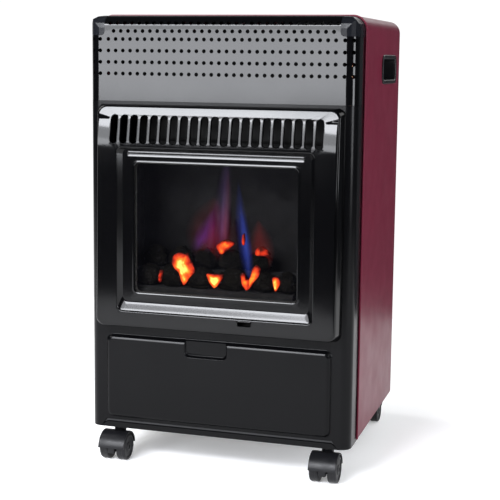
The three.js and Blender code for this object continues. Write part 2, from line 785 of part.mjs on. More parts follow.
// Two feet carry the burner tube on the firebox floor.
function makeBurnerBracket(side) {
  const x = side * (BURNER_LENGTH / 2 - 3 * BURNER_RADIUS);
  const floor = FIREBOX_BOTTOM + SHEET + SEAT_GAP;
  const saddle = rod("x", BURNER_RADIUS + SEAT_GAP, FAR, [0, BURNER_DEPTH, BURNER_HEIGHT], 14);
  const foot = block(
    x - BURNER_RADIUS / 2,
    x + BURNER_RADIUS / 2,
    BURNER_DEPTH - BURNER_RADIUS - BRACKET_MARGIN,
    BURNER_DEPTH + BURNER_RADIUS + BRACKET_MARGIN,
    floor,
    BURNER_HEIGHT,
  );
  return cut(foot, saddle);
}

// The coal tray stands on the firebox floor on two walls. Its bed steps up behind the burner,
// for the back row of coals, and has flame slots in front of the step.
function makeCoalTray() {
  const middle = (TRAY_RIGHT - TRAY_LEFT) / 2;
  const floor = FIREBOX_BOTTOM + SHEET + SEAT_GAP;
  const slotBack = BURNER_DEPTH + TRAY_SLOT_WIDTH / 2;
  const bed = alongX(
    outline([
      [TRAY_FRONT, TRAY_BOTTOM],
      [TRAY_BACK, TRAY_BOTTOM],
      [TRAY_BACK, TRAY_TOP + TRAY_STEP],
      [slotBack + 2 * TRAY_RISE, TRAY_TOP + TRAY_STEP],
      [slotBack, TRAY_TOP],
      [TRAY_FRONT + TRAY_RISE, TRAY_TOP],
      [TRAY_FRONT, TRAY_TOP - TRAY_RISE],
    ]),
    -TRAY_LEFT,
    TRAY_RIGHT,
  );
  const walls = [TRAY_FRONT, TRAY_BACK - TRAY_WALL].map((y) =>
    block(-TRAY_LEFT, TRAY_RIGHT, y, y + TRAY_WALL, floor, TRAY_BOTTOM + 1),
  );
  const slots = [];
  for (let i = 0; i < TRAY_SLOT_COUNT; i++) {
    const x = middle + (i - (TRAY_SLOT_COUNT - 1) / 2) * TRAY_SLOT_PITCH;
    slots.push(
      block(
        x - TRAY_SLOT_LENGTH / 2,
        x + TRAY_SLOT_LENGTH / 2,
        slotBack - TRAY_SLOT_WIDTH,
        slotBack,
        TRAY_BOTTOM - 1,
        TRAY_TOP + 1,
      ),
    );
  }
  return cut(join(bed, ...walls), ...slots);
}

// A lump of ceramic coal between two edges: a sphere of flat faces pushed in and out by
// smooth waves, cut flat where it sits on the tray.
function makeCoal(seed, left, right, y, seat) {
  const breadth = (right - left - COAL_GAP) / 2 / COAL_RADIUS;
  const geometry = new THREE.IcosahedronGeometry(COAL_RADIUS, 1);
  const position = geometry.getAttribute("position");
  const point = new THREE.Vector3();
  for (let i = 0; i < position.count; i++) {
    point.fromBufferAttribute(position, i);
    const wave = Math.sin(point.x * 0.21 + seed) * Math.cos(point.z * 0.19 - 2 * seed);
    const ripple = Math.sin(point.y * 0.4 + point.z * 0.33 + 3 * seed);
    point.multiplyScalar(0.9 + 0.09 * wave + 0.05 * ripple);
    position.setXYZ(i, point.x * breadth, point.y * 0.78, point.z * 1.05);
  }
  geometry.translate((left + right) / 2, y, seat + COAL_RADIUS * 0.8);
  return cut(solid(geometry), block(-FAR, FAR, -FAR, FAR, -FAR, seat + SEAT_GAP));
}

function placeCoalRow(row, edges, seed, y, seat) {
  for (let i = 0; i + 1 < edges.length; i++) {
    const coal = makeCoal(i + seed, edges[i], edges[i + 1], y, seat);
    place(`coal_${row}_${i + 1}`, coal, CERAMIC);
  }
}

function placeCoals() {
  const front = (TRAY_FRONT + BURNER_DEPTH) / 2;
  const back = (BURNER_DEPTH + TRAY_SLOT_WIDTH / 2 + TRAY_BACK) / 2;
  placeCoalRow("front", FRONT_COAL_EDGES, 1.3, front, TRAY_TOP);
  placeCoalRow("back", BACK_COAL_EDGES, 7.1, back, TRAY_TOP + TRAY_STEP);
}

// ---------------------------------------------------------------- pilot group
const PILOT_X = TRAY_RIGHT + PILOT_MARGIN;
const PILOT_Z = FIREBOX_BOTTOM + SHEET + SEAT_GAP;

function makePilotBurner() {
  const profile = [[0, 0], [7, 0], [7, 4], [4, 6], [4, 30], [6, 33], [6, 42], [0, 42]];
  return turned(profile, [PILOT_X, BURNER_DEPTH - PILOT_LEAD, PILOT_Z], 9);
}

function makeThermocouple() {
  const profile = [[0, 0], [5, 0], [5, 8], [2.6, 10], [2.6, 40], [1.6, 50], [0, 51]];
  return turned(profile, [PILOT_X, BURNER_DEPTH + THERMOCOUPLE_TRAIL, PILOT_Z], 8);
}

function makeElectrode() {
  const profile = [[0, 0], [4.5, 0], [4.5, 5], [3.4, 6], [3.4, 30], [1, 31], [1, 46], [0, 46]];
  return turned(profile, [PILOT_X, BURNER_DEPTH + ELECTRODE_TRAIL, PILOT_Z], 8);
}

// ---------------------------------------------------------------- inner sheets
function makePartition() {
  const half = FRONT_HALF - SKIN_INSET - PAN_THICKNESS - SEAT_GAP;
  const sheet = block(
    -half,
    half,
    PARTITION_DEPTH - SHEET,
    PARTITION_DEPTH,
    PAN_TOP + SEAT_GAP,
    FRONT_TOP - PARTITION_TOP_GAP,
  );
  const reach = FRONT_TOP - PAN_TOP;
  const ribs = [0.14, 0.42, 0.7].map((share) => {
    const centre = [0, PARTITION_DEPTH - SHEET, PAN_TOP + share * reach];
    return rod("x", PARTITION_RIB_RADIUS, 2 * (half - PARTITION_RIB_MARGIN), centre, 8);
  });
  const holeRadius = PIPE_RADIUS + PIPE_CLEARANCE;
  const pipeHole = rod("y", holeRadius, 8 * SHEET, [KNOB_X, PARTITION_DEPTH, PIPE_HEIGHT], 12);
  const rest = block(-FAR, FAR, PARTITION_DEPTH, FAR, -FAR, FAR);
  return cut(join(sheet, cut(join(...ribs), rest)), pipeHole);
}

// A curved vane over the firebox turns the hot air forwards to the perforated band.
function makeDeflector() {
  const back = PARTITION_DEPTH - SHEET - SEAT_GAP;
  const low = FIREBOX_TOP + VANE_LIFT;
  const high = FRONT_TOP - PARTITION_TOP_GAP - VANE_TOP_GAP;
  const turn = high - VANE_TURN;
  const shape = new THREE.Shape();
  shape.moveTo(back, low);
  shape.quadraticCurveTo(back, turn, back - VANE_REACH, high);
  shape.lineTo(back - VANE_REACH - SHEET, high - SHEET);
  shape.quadraticCurveTo(back - 2 * SHEET, turn - SHEET, back - SHEET, low);
  const half = PIPE_DROP_X - PIPE_RADIUS - VANE_PIPE_GAP;
  return alongX(shape, -half, half, 6);
}

// ---------------------------------------------------------------- base pan
function panShape(inset) {
  const half = FRONT_HALF - SKIN_INSET - inset;
  const bulge = BAY_BULGE_WIDTH / 2 - BAY_BULGE_DRAFT - COVER_SHEET - 2 - inset;
  const front = SHEET + SEAT_GAP + inset;
  const step = SIDE_REAR - SHEET - SEAT_GAP - inset;
  const back = BAY_BACK + PAN_THICKNESS - inset;
  const corner = CORNER_RADIUS - SKIN_INSET - inset;
  const shape = new THREE.Shape();
  shape.moveTo(-half + corner, front);
  shape.lineTo(half - corner, front);
  shape.absarc(half - corner, front + corner, corner, -Math.PI / 2, 0);
  shape.lineTo(half, step);
  shape.lineTo(bulge, step);
  shape.lineTo(bulge, back - PAN_CORNER);
  shape.absarc(bulge - PAN_CORNER, back - PAN_CORNER, PAN_CORNER, 0, Math.PI / 2);
  shape.lineTo(-bulge + PAN_CORNER, back);
  shape.absarc(-bulge + PAN_CORNER, back - PAN_CORNER, PAN_CORNER, Math.PI / 2, Math.PI);
  shape.lineTo(-bulge, step);
  shape.lineTo(-half, step);
  shape.lineTo(-half, front + corner);
  shape.absarc(-half + corner, front + corner, corner, Math.PI, Math.PI * 1.5);
  return shape;
}

function stems() {
  const places = [];
  for (const [depth, y, trail] of [["front", FRONT_STEM, -1], ["rear", REAR_STEM, 1]]) {
    for (const [side, sign] of [["left", -1], ["right", 1]]) {
      places.push({ name: `${depth}_${side}`, x: sign * CASTER_SPREAD, y, trail, sign });
    }
  }
  return places;
}

// The bottle stands on a flat platform pressed up out of the pan's floor.
function platformShape(inset) {
  const half = BOTTLE_DIAMETER / 2 - inset;
  const front = PARTITION_DEPTH + PLATFORM_MARGIN + inset;
  const back = BAY_BACK - PLATFORM_MARGIN - inset;
  return roundedAll(-half, half, front, back, PAN_CORNER - inset);
}

function makeBasePan() {
  const outside = alongZ(panShape(0), PAN_BOTTOM, PAN_TOP + PAN_FLANGE);
  const inside = alongZ(panShape(PAN_THICKNESS), PAN_TOP, PAN_TOP + 2 * PAN_FLANGE);
  const holes = stems().map(({ x, y }) =>
    rod("z", STEM_RADIUS + SOCKET_WALL + 3 * SEAT_GAP, 8 * SHEET, [x, y, PAN_BOTTOM], 8),
  );
  const platform = alongZ(platformShape(0), PAN_TOP, PAN_TOP + PLATFORM_RISE);
  const hollow = platformShape(PAN_THICKNESS);
  const under = alongZ(hollow, PAN_BOTTOM - 1, PAN_BOTTOM + PLATFORM_RISE);
  return cut(join(cut(outside, inside), platform), under, ...holes);
}

// ---------------------------------------------------------------- rear cover
function coverBulge(inset, front) {
  const half = BAY_BULGE_WIDTH / 2 - inset;
  const backHalf = half - BAY_BULGE_DRAFT;
  const low = PAN_TOP + SEAT_GAP;
  const below = low - (inset > 0 ? COVER_FOOT / 2 : 0);
  const foot = PAN_TOP + COVER_FOOT;
  const high = COVER_BULGE_TOP - inset;
  const back = COVER_BACK - inset;
  const body = loft(
    ring(-half, half, below, high, 14, front),
    ring(-half, half, below, high, 14, COVER_SEAT + COVER_SHEET),
    ring(-backHalf, backHalf, below, high - COVER_SLOPE, 14, back),
  );
  const square = loft(
    ring(-half, half, below, foot, 0.5, front),
    ring(-half, half, below, foot, 0.5, COVER_SEAT + COVER_SHEET),
    ring(-backHalf, backHalf, below, foot, 0.5, back),
  );
  return join(body, square);
}

function louvres(z0) {
  const slots = [];
  for (const x of [-LOUVRE_SPACING / 2, LOUVRE_SPACING / 2]) {
    for (let i = 0; i < LOUVRE_COUNT; i++) {
      const z = z0 + i * LOUVRE_PITCH;
      slots.push(
        block(
          x - LOUVRE_LENGTH / 2,
          x + LOUVRE_LENGTH / 2,
          COVER_BACK - 4 * COVER_SHEET,
          COVER_BACK + 1,
          z,
          z + LOUVRE_HEIGHT,
        ),
      );
    }
  }
  return slots;
}

function makeRearCover() {
  const half = HALF_WIDTH - COVER_INSET;
  const low = PAN_TOP + SEAT_GAP;
  const corner = TOP_RADIUS - COVER_INSET;
  const plate = alongY(
    roundedShape(-half, half, low, COVER_TOP, [0, 0, corner, corner]),
    COVER_SEAT,
    COVER_SEAT + COVER_SHEET,
    2,
  );
  const pull = alongY(
    roundedAll(
      -PULL_WIDTH / 2,
      PULL_WIDTH / 2,
      (COVER_BULGE_TOP + COVER_TOP) / 2 - PULL_HEIGHT / 2,
      (COVER_BULGE_TOP + COVER_TOP) / 2 + PULL_HEIGHT / 2,
      PULL_HEIGHT / 3,
    ),
    COVER_SEAT - 1,
    COVER_SEAT + PULL_DEPTH,
    1,
  );
  const shell = join(plate, coverBulge(0, COVER_SEAT));
  const hollow = coverBulge(COVER_SHEET, COVER_SEAT - 1);
  return cut(shell, hollow, pull, ...louvres(LOW_LOUVRE_HEIGHT), ...louvres(HIGH_LOUVRE_HEIGHT));
}

// ---------------------------------------------------------------- carrying handles
function makeHandle(side) {
  const y0 = HANDLE_CENTRE - HANDLE_LENGTH / 2;
  const y1 = HANDLE_CENTRE + HANDLE_LENGTH / 2;
  const z0 = HANDLE_HEIGHT - HANDLE_OPENING / 2;
  const z1 = HANDLE_HEIGHT + HANDLE_OPENING / 2;
  const outer = HALF_WIDTH + SEAT_GAP;
  const corner = HANDLE_OPENING / 4;
  const rim = roundedAll(
    y0 - HANDLE_RIM,
    y1 + HANDLE_RIM,
    z0 - HANDLE_RIM,
    z1 + HANDLE_RIM,
    corner + HANDLE_RIM,
  );
  const body = roundedAll(y0 + SEAT_GAP, y1 - SEAT_GAP, z0 + SEAT_GAP, z1 - SEAT_GAP, corner);
  const wall = HANDLE_WALL + SEAT_GAP;
  const finger = roundedAll(y0 + wall, y1 - wall, z0 + wall, z1 - wall, corner - HANDLE_WALL);
  const spans = [
    [rim, outer, outer + HANDLE_RIM_PROUD],
    [body, outer - HANDLE_DEPTH, outer + HANDLE_RIM_PROUD / 2],
    [finger, outer - HANDLE_DEPTH + HANDLE_WALL, outer + 2 * HANDLE_RIM_PROUD],
  ];
  const [flange, cup, grip] = spans.map(([shape, x0, x1]) =>
    side > 0 ? alongX(shape, x0, x1, 1) : alongX(shape, -x1, -x0, 1),
  );
  return cut(join(flange, cup), grip);
}

// ---------------------------------------------------------------- controls
function makeControlWell() {
  const top = BODY_TOP - SHEET - SEAT_GAP;
  const flange = alongZ(wellShape(-WELL_FLANGE), top - WELL_WALL, top, 1);
  const body = alongZ(wellShape(-WELL_WALL), WELL_FLOOR - WELL_WALL, top, 1);
  const inside = alongZ(wellShape(0), WELL_FLOOR, top + 1, 1);
  const spindleHole = rod(
    "z",
    SPINDLE_RADIUS + 2,
    8 * WELL_WALL,
    [KNOB_X, WELL_CENTRE_Y, WELL_FLOOR],
    14,
  );
  const buttonHole = rod(
    "z",
    BUTTON_RADIUS + RUNNING_GAP,
    8 * WELL_WALL,
    [BUTTON_X, WELL_CENTRE_Y, WELL_FLOOR],
    16,
  );
  return cut(join(flange, body), inside, spindleHole, buttonHole);
}

function makeSpindle() {
  const top = KNOB_BASE + KNOB_BORE - KNOB_TRAVEL - RUNNING_GAP;
  const bottom = VALVE_TOP - 8;
  const shaft = rod(
    "z",
    SPINDLE_RADIUS,
    top - bottom,
    [KNOB_X, WELL_CENTRE_Y, (top + bottom) / 2],
    16,
  );
  const flatSide = block(
    KNOB_X + SPINDLE_RADIUS * 0.6,
    KNOB_X + SPINDLE_RADIUS * 2,
    WELL_CENTRE_Y - SPINDLE_RADIUS,
    WELL_CENTRE_Y + SPINDLE_RADIUS,
    WELL_FLOOR + KNOB_TRAVEL,
    top + 1,
  );
  return cut(shaft, flatSide);
}

function makeKnob() {
  const base = KNOB_BASE;
  const profile = [
    [0, 0],
    [KNOB_RADIUS, 0],
    [KNOB_RADIUS, 4],
    [KNOB_RADIUS - 3, 6],
    [KNOB_RADIUS - 4, KNOB_HEIGHT - 2],
    [KNOB_RADIUS - 6, KNOB_HEIGHT],
    [0, KNOB_HEIGHT],
  ];
  const body = solid(turned(profile, [KNOB_X, WELL_CENTRE_Y, base], 20));
  const grips = [];
  for (let i = 0; i < KNOB_GRIPS; i++) {
    const angle = ((i + 0.5) / KNOB_GRIPS) * Math.PI * 2;
    const x = KNOB_X + Math.cos(angle) * (KNOB_RADIUS - 2.6);
    const y = WELL_CENTRE_Y + Math.sin(angle) * (KNOB_RADIUS - 2.6);
    grips.push(rod("z", 1.8, KNOB_HEIGHT, [x, y, base + 6 + KNOB_HEIGHT / 2], 5));
  }
  const marker = block(
    KNOB_X - 1,
    KNOB_X + 1,
    WELL_CENTRE_Y - KNOB_RADIUS,
    WELL_CENTRE_Y - KNOB_RADIUS / 2,
    base + KNOB_HEIGHT - 1.2,
    base + KNOB_HEIGHT + 1,
  );
  const bore = rod(
    "z",
    SPINDLE_RADIUS + RUNNING_GAP,
    2 * KNOB_BORE,
    [KNOB_X, WELL_CENTRE_Y, base],
    16,
  );
  return cut(body, ...grips, marker, bore);
}

function makeIgniterButton() {
  const low = VALVE_TOP + BUTTON_TRAVEL + 1;
  const high = WELL_FLOOR + BUTTON_PROUD;
  const profile = [
    [0, low],
    [BUTTON_RADIUS, low],
    [BUTTON_RADIUS, high - 2],
    [BUTTON_RADIUS - 1.5, high],
    [0, high - 0.8],
  ];
  return turned(profile, [BUTTON_X, WELL_CENTRE_Y, 0], 14);
}

function makePiezoUnit() {
  const top = VALVE_TOP;
  const profile = [
    [0, top - PIEZO_LENGTH],
    [3, top - PIEZO_LENGTH],
    [3, top - 38],
    [9, top - 36],
    [9, top - 6],
    [13, top - 5],
    [13, top],
    [0, top],
  ];
  return turned(profile, [BUTTON_X, WELL_CENTRE_Y, 0], 12);
}

function makeValve() {
  const half = VALVE_SIZE / 2;
  const body = alongZ(
    roundedAll(KNOB_X - half, KNOB_X + half, WELL_CENTRE_Y - half, WELL_CENTRE_Y + half, 5),
    VALVE_TOP - VALVE_HEIGHT,
    VALVE_TOP,
    1,
  );
  const back = WELL_CENTRE_Y + half;
  const front = WELL_CENTRE_Y - half;
  const middle = PORT_REACH / 2;
  const inlet = rod("y", 9, PORT_REACH + 1, [KNOB_X, back + middle - 0.5, PIPE_HEIGHT], 6);
  const outlet = rod("y", 8, PORT_REACH + 1, [KNOB_X, front - middle + 0.5, PIPE_HEIGHT], 6);
  const magnet = rod("x", 9, 22, [KNOB_X - half - 10, WELL_CENTRE_Y, PIPE_HEIGHT], 14);
  const bore = rod(
    "z",
    SPINDLE_RADIUS + RUNNING_GAP,
    20,
    [KNOB_X, WELL_CENTRE_Y, VALVE_TOP],
    16,
  );
  return cut(join(body, inlet, outlet, magnet), bore);
}

// The barbed nozzle that a gas hose is pushed on to.
function makeHoseNozzle() {
  const profile = [[0, 0], [8, 0], [8, 7], [5, 8.5]];
  for (let i = 0; i < NOZZLE_BARBS; i++) {
    const z = 10 + (i * (NOZZLE_LENGTH - 12)) / NOZZLE_BARBS;
    profile.push([NOZZLE_RADIUS - 0.6, z]);
    profile.push([NOZZLE_RADIUS + 0.6, z + 1.5]);
    profile.push([NOZZLE_RADIUS - 0.6, z + 6]);
  }
  profile.push([NOZZLE_RADIUS - 1.2, NOZZLE_LENGTH], [2, NOZZLE_LENGTH], [2, 10], [0, 10]);
  const points = profile.map(([radius, height]) => new THREE.Vector2(radius, height));
  const geometry = new THREE.LatheGeometry(points, 8);
  const seat = WELL_CENTRE_Y + VALVE_SIZE / 2 + PORT_REACH + SEAT_GAP;
  geometry.translate(KNOB_X, seat, PIPE_HEIGHT);
  return geometry;
}

// The gas pipe runs from the valve forwards through the partition, down beside the firebox
// and into the burner's mouth. Each bend is a curve between two straight runs.
function bentPath(corners) {
  const path = new THREE.CurvePath();
  let from = corners[0];
  for (let i = 1; i < corners.length - 1; i++) {
    const before = corners[i].clone().sub(corners[i - 1]).setLength(PIPE_BEND);
    const after = corners[i + 1].clone().sub(corners[i]).setLength(PIPE_BEND);
    const enter = corners[i].clone().sub(before);
    const leave = corners[i].clone().add(after);
    path.add(new THREE.LineCurve3(from, enter));
    path.add(new THREE.QuadraticBezierCurve3(enter, corners[i], leave));
    from = leave;
  }
  path.add(new THREE.LineCurve3(from, corners[corners.length - 1]));
  return path;
}

function makeGasPipe() {
  const outlet = WELL_CENTRE_Y - VALVE_SIZE / 2 - PORT_REACH - SEAT_GAP;
  const low = BURNER_HEIGHT - PIPE_DIP;
  const corners = [
    [KNOB_X, outlet, PIPE_HEIGHT],
    [KNOB_X, PIPE_DROP_Y, PIPE_HEIGHT],
    [PIPE_DROP_X, PIPE_DROP_Y, PIPE_HEIGHT],
    [PIPE_DROP_X, PIPE_DROP_Y, low],
    [PIPE_DROP_X, BURNER_DEPTH, low],
    [PIPE_DROP_X, BURNER_DEPTH, BURNER_HEIGHT],
    [BURNER_MOUTH + SEAT_GAP, BURNER_DEPTH, BURNER_HEIGHT],
  ];
  const shape = new THREE.Shape().absarc(0, 0, PIPE_RADIUS, 0, Math.PI * 2);
  const pipe = new THREE.ExtrudeGeometry(shape, {
    extrudePath: bentPath(corners.map((corner) => new THREE.Vector3(...corner))),
    steps: PIPE_STEPS,
    curveSegments: 3,
    bevelEnabled: false,
  });
  return solid(pipe);
}

// ---------------------------------------------------------------- casters
// Each caster is a hood on a stem that turns in a socket, with two wheels on one axle.
function makeSocket({ x, y }) {
  const sleeve = STEM_RADIUS + SOCKET_WALL;
  const top = PAN_TOP + STEM_LENGTH;
  const bottom = PAN_BOTTOM - SEAT_GAP - SOCKET_FLANGE;
  const body = join(
    rod("z", sleeve, top - bottom, [x, y, (top + bottom) / 2], 8),
    rod("z", sleeve + SOCKET_WALL, SOCKET_FLANGE, [x, y, bottom + SOCKET_FLANGE / 2], 8),
  );
  const depth = top - SOCKET_WALL - bottom;
  const bore = rod("z", STEM_RADIUS + 2 * RUNNING_GAP, 2 * depth, [x, y, bottom], 8);
  return cut(body, bore);
}

function makeHood({ x, y, trail }) {
  const axleY = y + trail * CASTER_TRAIL;
  const inner = WHEEL_RADIUS + HOOD_GAP;
  const outer = inner + HOOD_THICKNESS;
  const half = WEB_THICKNESS / 2 + WHEEL_GAP + WHEEL_WIDTH;
  const top = PAN_BOTTOM - SEAT_GAP - SOCKET_FLANGE - SWIVEL_GAP;
  const axis = [x, axleY, AXLE_HEIGHT];
  const round = rod("x", outer, 2 * half, axis, HOOD_SIDES);
  const bent = cut(round, rod("x", inner, 2 * half + 2, axis, HOOD_SIDES));
  const visor = common(bent, block(-FAR, FAR, -FAR, FAR, AXLE_HEIGHT + AXLE_RADIUS, FAR));
  const web = common(
    rod("x", outer - 1, WEB_THICKNESS, axis, HOOD_SIDES),
    block(-FAR, FAR, -FAR, FAR, AXLE_HEIGHT - 2 * AXLE_RADIUS, FAR),
  );
  const neck = block(
    x - WEB_THICKNESS / 2,
    x + WEB_THICKNESS / 2,
    y - STEM_RADIUS - HOOD_THICKNESS,
    y + STEM_RADIUS + HOOD_THICKNESS,
    AXLE_HEIGHT + 2 * AXLE_RADIUS,
    top - 1,
  );
  const collarBase = AXLE_HEIGHT + inner + 1;
  const collar = rod(
    "z",
    STEM_RADIUS + HOOD_THICKNESS + 1,
    top - collarBase,
    [x, y, (top + collarBase) / 2],
    10,
  );
  const stemTop = PAN_TOP + STEM_LENGTH - SOCKET_WALL - SWIVEL_GAP;
  const stem = rod("z", STEM_RADIUS, stemTop - top + 1, [x, y, (stemTop + top - 1) / 2], 8);
  const axle = rod("x", AXLE_RADIUS, 2 * half - 4, axis, 6);
  return join(visor, web, neck, collar, stem, axle);
}

function makeWheel({ x, y, trail }, side) {
  const bore = AXLE_RADIUS + RUNNING_GAP;
  const profile = [
    [bore, 0],
    [WHEEL_RADIUS, 0],
    [WHEEL_RADIUS, WHEEL_WIDTH - 3],
    [WHEEL_RADIUS - 3, WHEEL_WIDTH],
    [bore, WHEEL_WIDTH - 2],
    [bore, 0],
  ];
  const points = profile.map(([radius, width]) => new THREE.Vector2(radius, width));
  const geometry = new THREE.LatheGeometry(points, WHEEL_SIDES, Math.PI / WHEEL_SIDES);
  geometry.rotateZ((-side * Math.PI) / 2);
  const start = x + side * (WEB_THICKNESS / 2 + WHEEL_GAP);
  geometry.translate(start, y + trail * CASTER_TRAIL, AXLE_HEIGHT);
  return geometry;
}

// ---------------------------------------------------------------- assembly
place("cabinet_wrap", makeWrap(), RED_ENAMEL);
place("base_pan", makeBasePan(), SATIN_BLACK);
place("front_frame", makeFrontFrame(), BLACK_ENAMEL);
place("top_grille", makeGrille(), BLACK_ENAMEL);
place("corner_cap_left", makeCornerCap(-1), GREY_PLASTIC);
place("corner_cap_right", makeCornerCap(1), GREY_PLASTIC);
place("fire_surround", makeSurround(), BLACK_ENAMEL);
place("window_glass", makeGlass(), DARK_GLASS);
place("window_gasket", makeGasket(), FIBRE);
place("firebox", makeFirebox(), STEEL);
place("burner_tube", makeBurner(), STEEL);
place("burner_bracket_left", makeBurnerBracket(-1), STEEL);
place("burner_bracket_right", makeBurnerBracket(1), STEEL);
place("coal_tray", makeCoalTray(), CERAMIC);
placeCoals();
place("pilot_burner", makePilotBurner(), BRASS);
place("thermocouple", makeThermocouple(), COPPER);
place("spark_electrode", makeElectrode(), WHITE_CERAMIC);
place("heat_partition", makePartition(), STEEL);
place("air_deflector", makeDeflector(), STEEL);
place("rear_cover", makeRearCover(), SATIN_BLACK);
place("handle_left", makeHandle(-1), BLACK_PLASTIC);
place("handle_right", makeHandle(1), BLACK_PLASTIC);
place("control_well", makeControlWell(), BLACK_PLASTIC);
place("valve_spindle", makeSpindle(), STEEL);
place("control_knob", makeKnob(), BLACK_PLASTIC);
place("igniter_button", makeIgniterButton(), GREY_PLASTIC);
place("piezo_unit", makePiezoUnit(), GREY_PLASTIC);
place("gas_valve", makeValve(), BRASS);
place("hose_nozzle", makeHoseNozzle(), BRASS);
place("gas_pipe", makeGasPipe(), COPPER);
for (const stem of stems()) {
  place(`caster_socket_${stem.name}`, makeSocket(stem), STEEL);
  place(`caster_hood_${stem.name}`, makeHood(stem), BLACK_PLASTIC);
  for (const [name, side] of [["left", -1], ["right", 1]]) {
    place(`caster_wheel_${stem.name}_${name}`, makeWheel(stem, side), TYRE_PLASTIC);
  }
}
heater.position.y = -MIDDLE_Y;

export default heater;
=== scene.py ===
"""Looks for a portable gas cabinet heater: fine pieces, finishes, light and camera round the frame.

Lengths are in metres in the frame's own axes: +Z up, the fire faces -Y, +X is to the right.
"""

import math

import bmesh
import bpy
import numpy as np
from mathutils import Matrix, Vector, noise
from mathutils.geometry import delaunay_2d_cdt


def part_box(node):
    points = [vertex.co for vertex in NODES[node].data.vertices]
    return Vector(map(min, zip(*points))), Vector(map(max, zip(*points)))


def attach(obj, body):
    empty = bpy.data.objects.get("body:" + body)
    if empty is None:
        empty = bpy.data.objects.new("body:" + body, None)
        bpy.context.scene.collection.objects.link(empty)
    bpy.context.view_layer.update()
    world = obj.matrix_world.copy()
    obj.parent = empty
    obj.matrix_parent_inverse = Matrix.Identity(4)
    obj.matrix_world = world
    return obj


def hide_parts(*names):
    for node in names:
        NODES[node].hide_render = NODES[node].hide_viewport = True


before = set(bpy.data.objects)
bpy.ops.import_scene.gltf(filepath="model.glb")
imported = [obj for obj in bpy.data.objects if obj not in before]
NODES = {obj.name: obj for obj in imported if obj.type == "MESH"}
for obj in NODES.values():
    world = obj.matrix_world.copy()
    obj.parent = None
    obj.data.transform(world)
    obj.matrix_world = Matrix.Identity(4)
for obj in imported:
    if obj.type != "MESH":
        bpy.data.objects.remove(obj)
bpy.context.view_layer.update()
MM = 0.001
TAU = 2 * math.pi
QUARTER = math.pi / 2


# ---- sizes of the cabinet
def foot(name):
    """The middle of the underside of a frame part's box."""
    low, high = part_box(name)
    return (low.x + high.x) / 2, (low.y + high.y) / 2, low.z


SHEET = 1.2 * MM
HEM_PROUD = 1.2 * MM
WRAP_LOW, WRAP_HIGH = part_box("cabinet_wrap")
HALF_WIDTH = WRAP_HIGH.x - HEM_PROUD
BODY_TOP = WRAP_HIGH.z - HEM_PROUD
TOP_RADIUS = 20 * MM
GRILLE_LOW, GRILLE_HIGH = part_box("top_grille")
FRONT = GRILLE_LOW.y
FRONT_HALF = GRILLE_HIGH.x
FRONT_TOP = GRILLE_HIGH.z
RETURN_END = GRILLE_HIGH.y
CORNER_RADIUS = 17 * MM
TOP_BEND = 18.5 * MM
FLAT_HALF = FRONT_HALF - CORNER_RADIUS
FLAT_TOP = FRONT_TOP - TOP_BEND
SIDE_REACH = FLAT_HALF + QUARTER * CORNER_RADIUS + (RETURN_END - FRONT - CORNER_RADIUS)
TOP_REACH = FLAT_TOP + QUARTER * TOP_BEND + (RETURN_END - FRONT - TOP_BEND)
BEND_STEPS = 8


# ---- shapes drawn flat
def arc(centre, radius, start, end, steps):
    turn = (end - start) / steps
    angles = [start + i * turn for i in range(steps + 1)]
    return [(centre[0] + radius * math.cos(a), centre[1] + radius * math.sin(a)) for a in angles]


def rounded(a0, a1, b0, b1, radius, steps=6):
    """A rectangle with round corners, anticlockwise from its low right corner."""
    r = min(radius, (a1 - a0) / 2 - 1e-6, (b1 - b0) / 2 - 1e-6)
    corners = [(a1 - r, b0 + r), (a1 - r, b1 - r), (a0 + r, b1 - r), (a0 + r, b0 + r)]
    points = []
    for i, centre in enumerate(corners):
        points += arc(centre, r, (i - 1) * QUARTER, i * QUARTER, steps)
    return points


def grown(rect, by, steps=6):
    """The rounded rectangle (a0, a1, b0, b1, radius) drawn larger all round."""
    a0, a1, b0, b1, radius = rect
    return rounded(a0 - by, a1 + by, b0 - by, b1 + by, max(radius + by, 0.3 * MM), steps)


def circle(a, b, radius, steps=14):
    return arc((a, b), radius, 0, TAU - TAU / steps, steps - 1)


def centred(a, b, length, breadth, radius):
    """A rounded rectangle as numbers, round the point (a, b)."""
    return a - length / 2, a + length / 2, b - breadth / 2, b + breadth / 2, radius


def gap_outside(a, b, rect):
    """How far a point lies outside a rounded rectangle: negative inside it."""
    a0, a1, b0, b1, radius = rect
    da = max(a0 + radius - a, a - a1 + radius)
    db = max(b0 + radius - b, b - b1 + radius)
    outside = math.hypot(max(da, 0), max(db, 0))
    return outside + min(max(da, db), 0) - radius


def ramp(x, ease=0.25):
    """Rises from 0 to 1 as x does, straight in the middle and rounded at both ends."""
    if x <= 0 or x >= 1:
        return float(x >= 1)
    scale = 2 * ease * (1 - ease)
    if x < ease:
        return x * x / scale
    if x > 1 - ease:
        return 1 - (1 - x) ** 2 / scale
    return (x - ease / 2) / (1 - ease)


def bend(along, flat, radius, lift):
    """Carries a distance along a sheet round a right-angle bend that starts at flat.

    Gives how far across the point comes to lie and how far behind the sheet's face.
    """
    over = along - flat
    if over <= 0:
        return along, -lift
    angle = min(over / radius, QUARTER)
    rest = max(over - radius * QUARTER, 0)
    across = flat + (radius + lift) * math.sin(angle)
    return across, radius - (radius + lift) * math.cos(angle) + rest


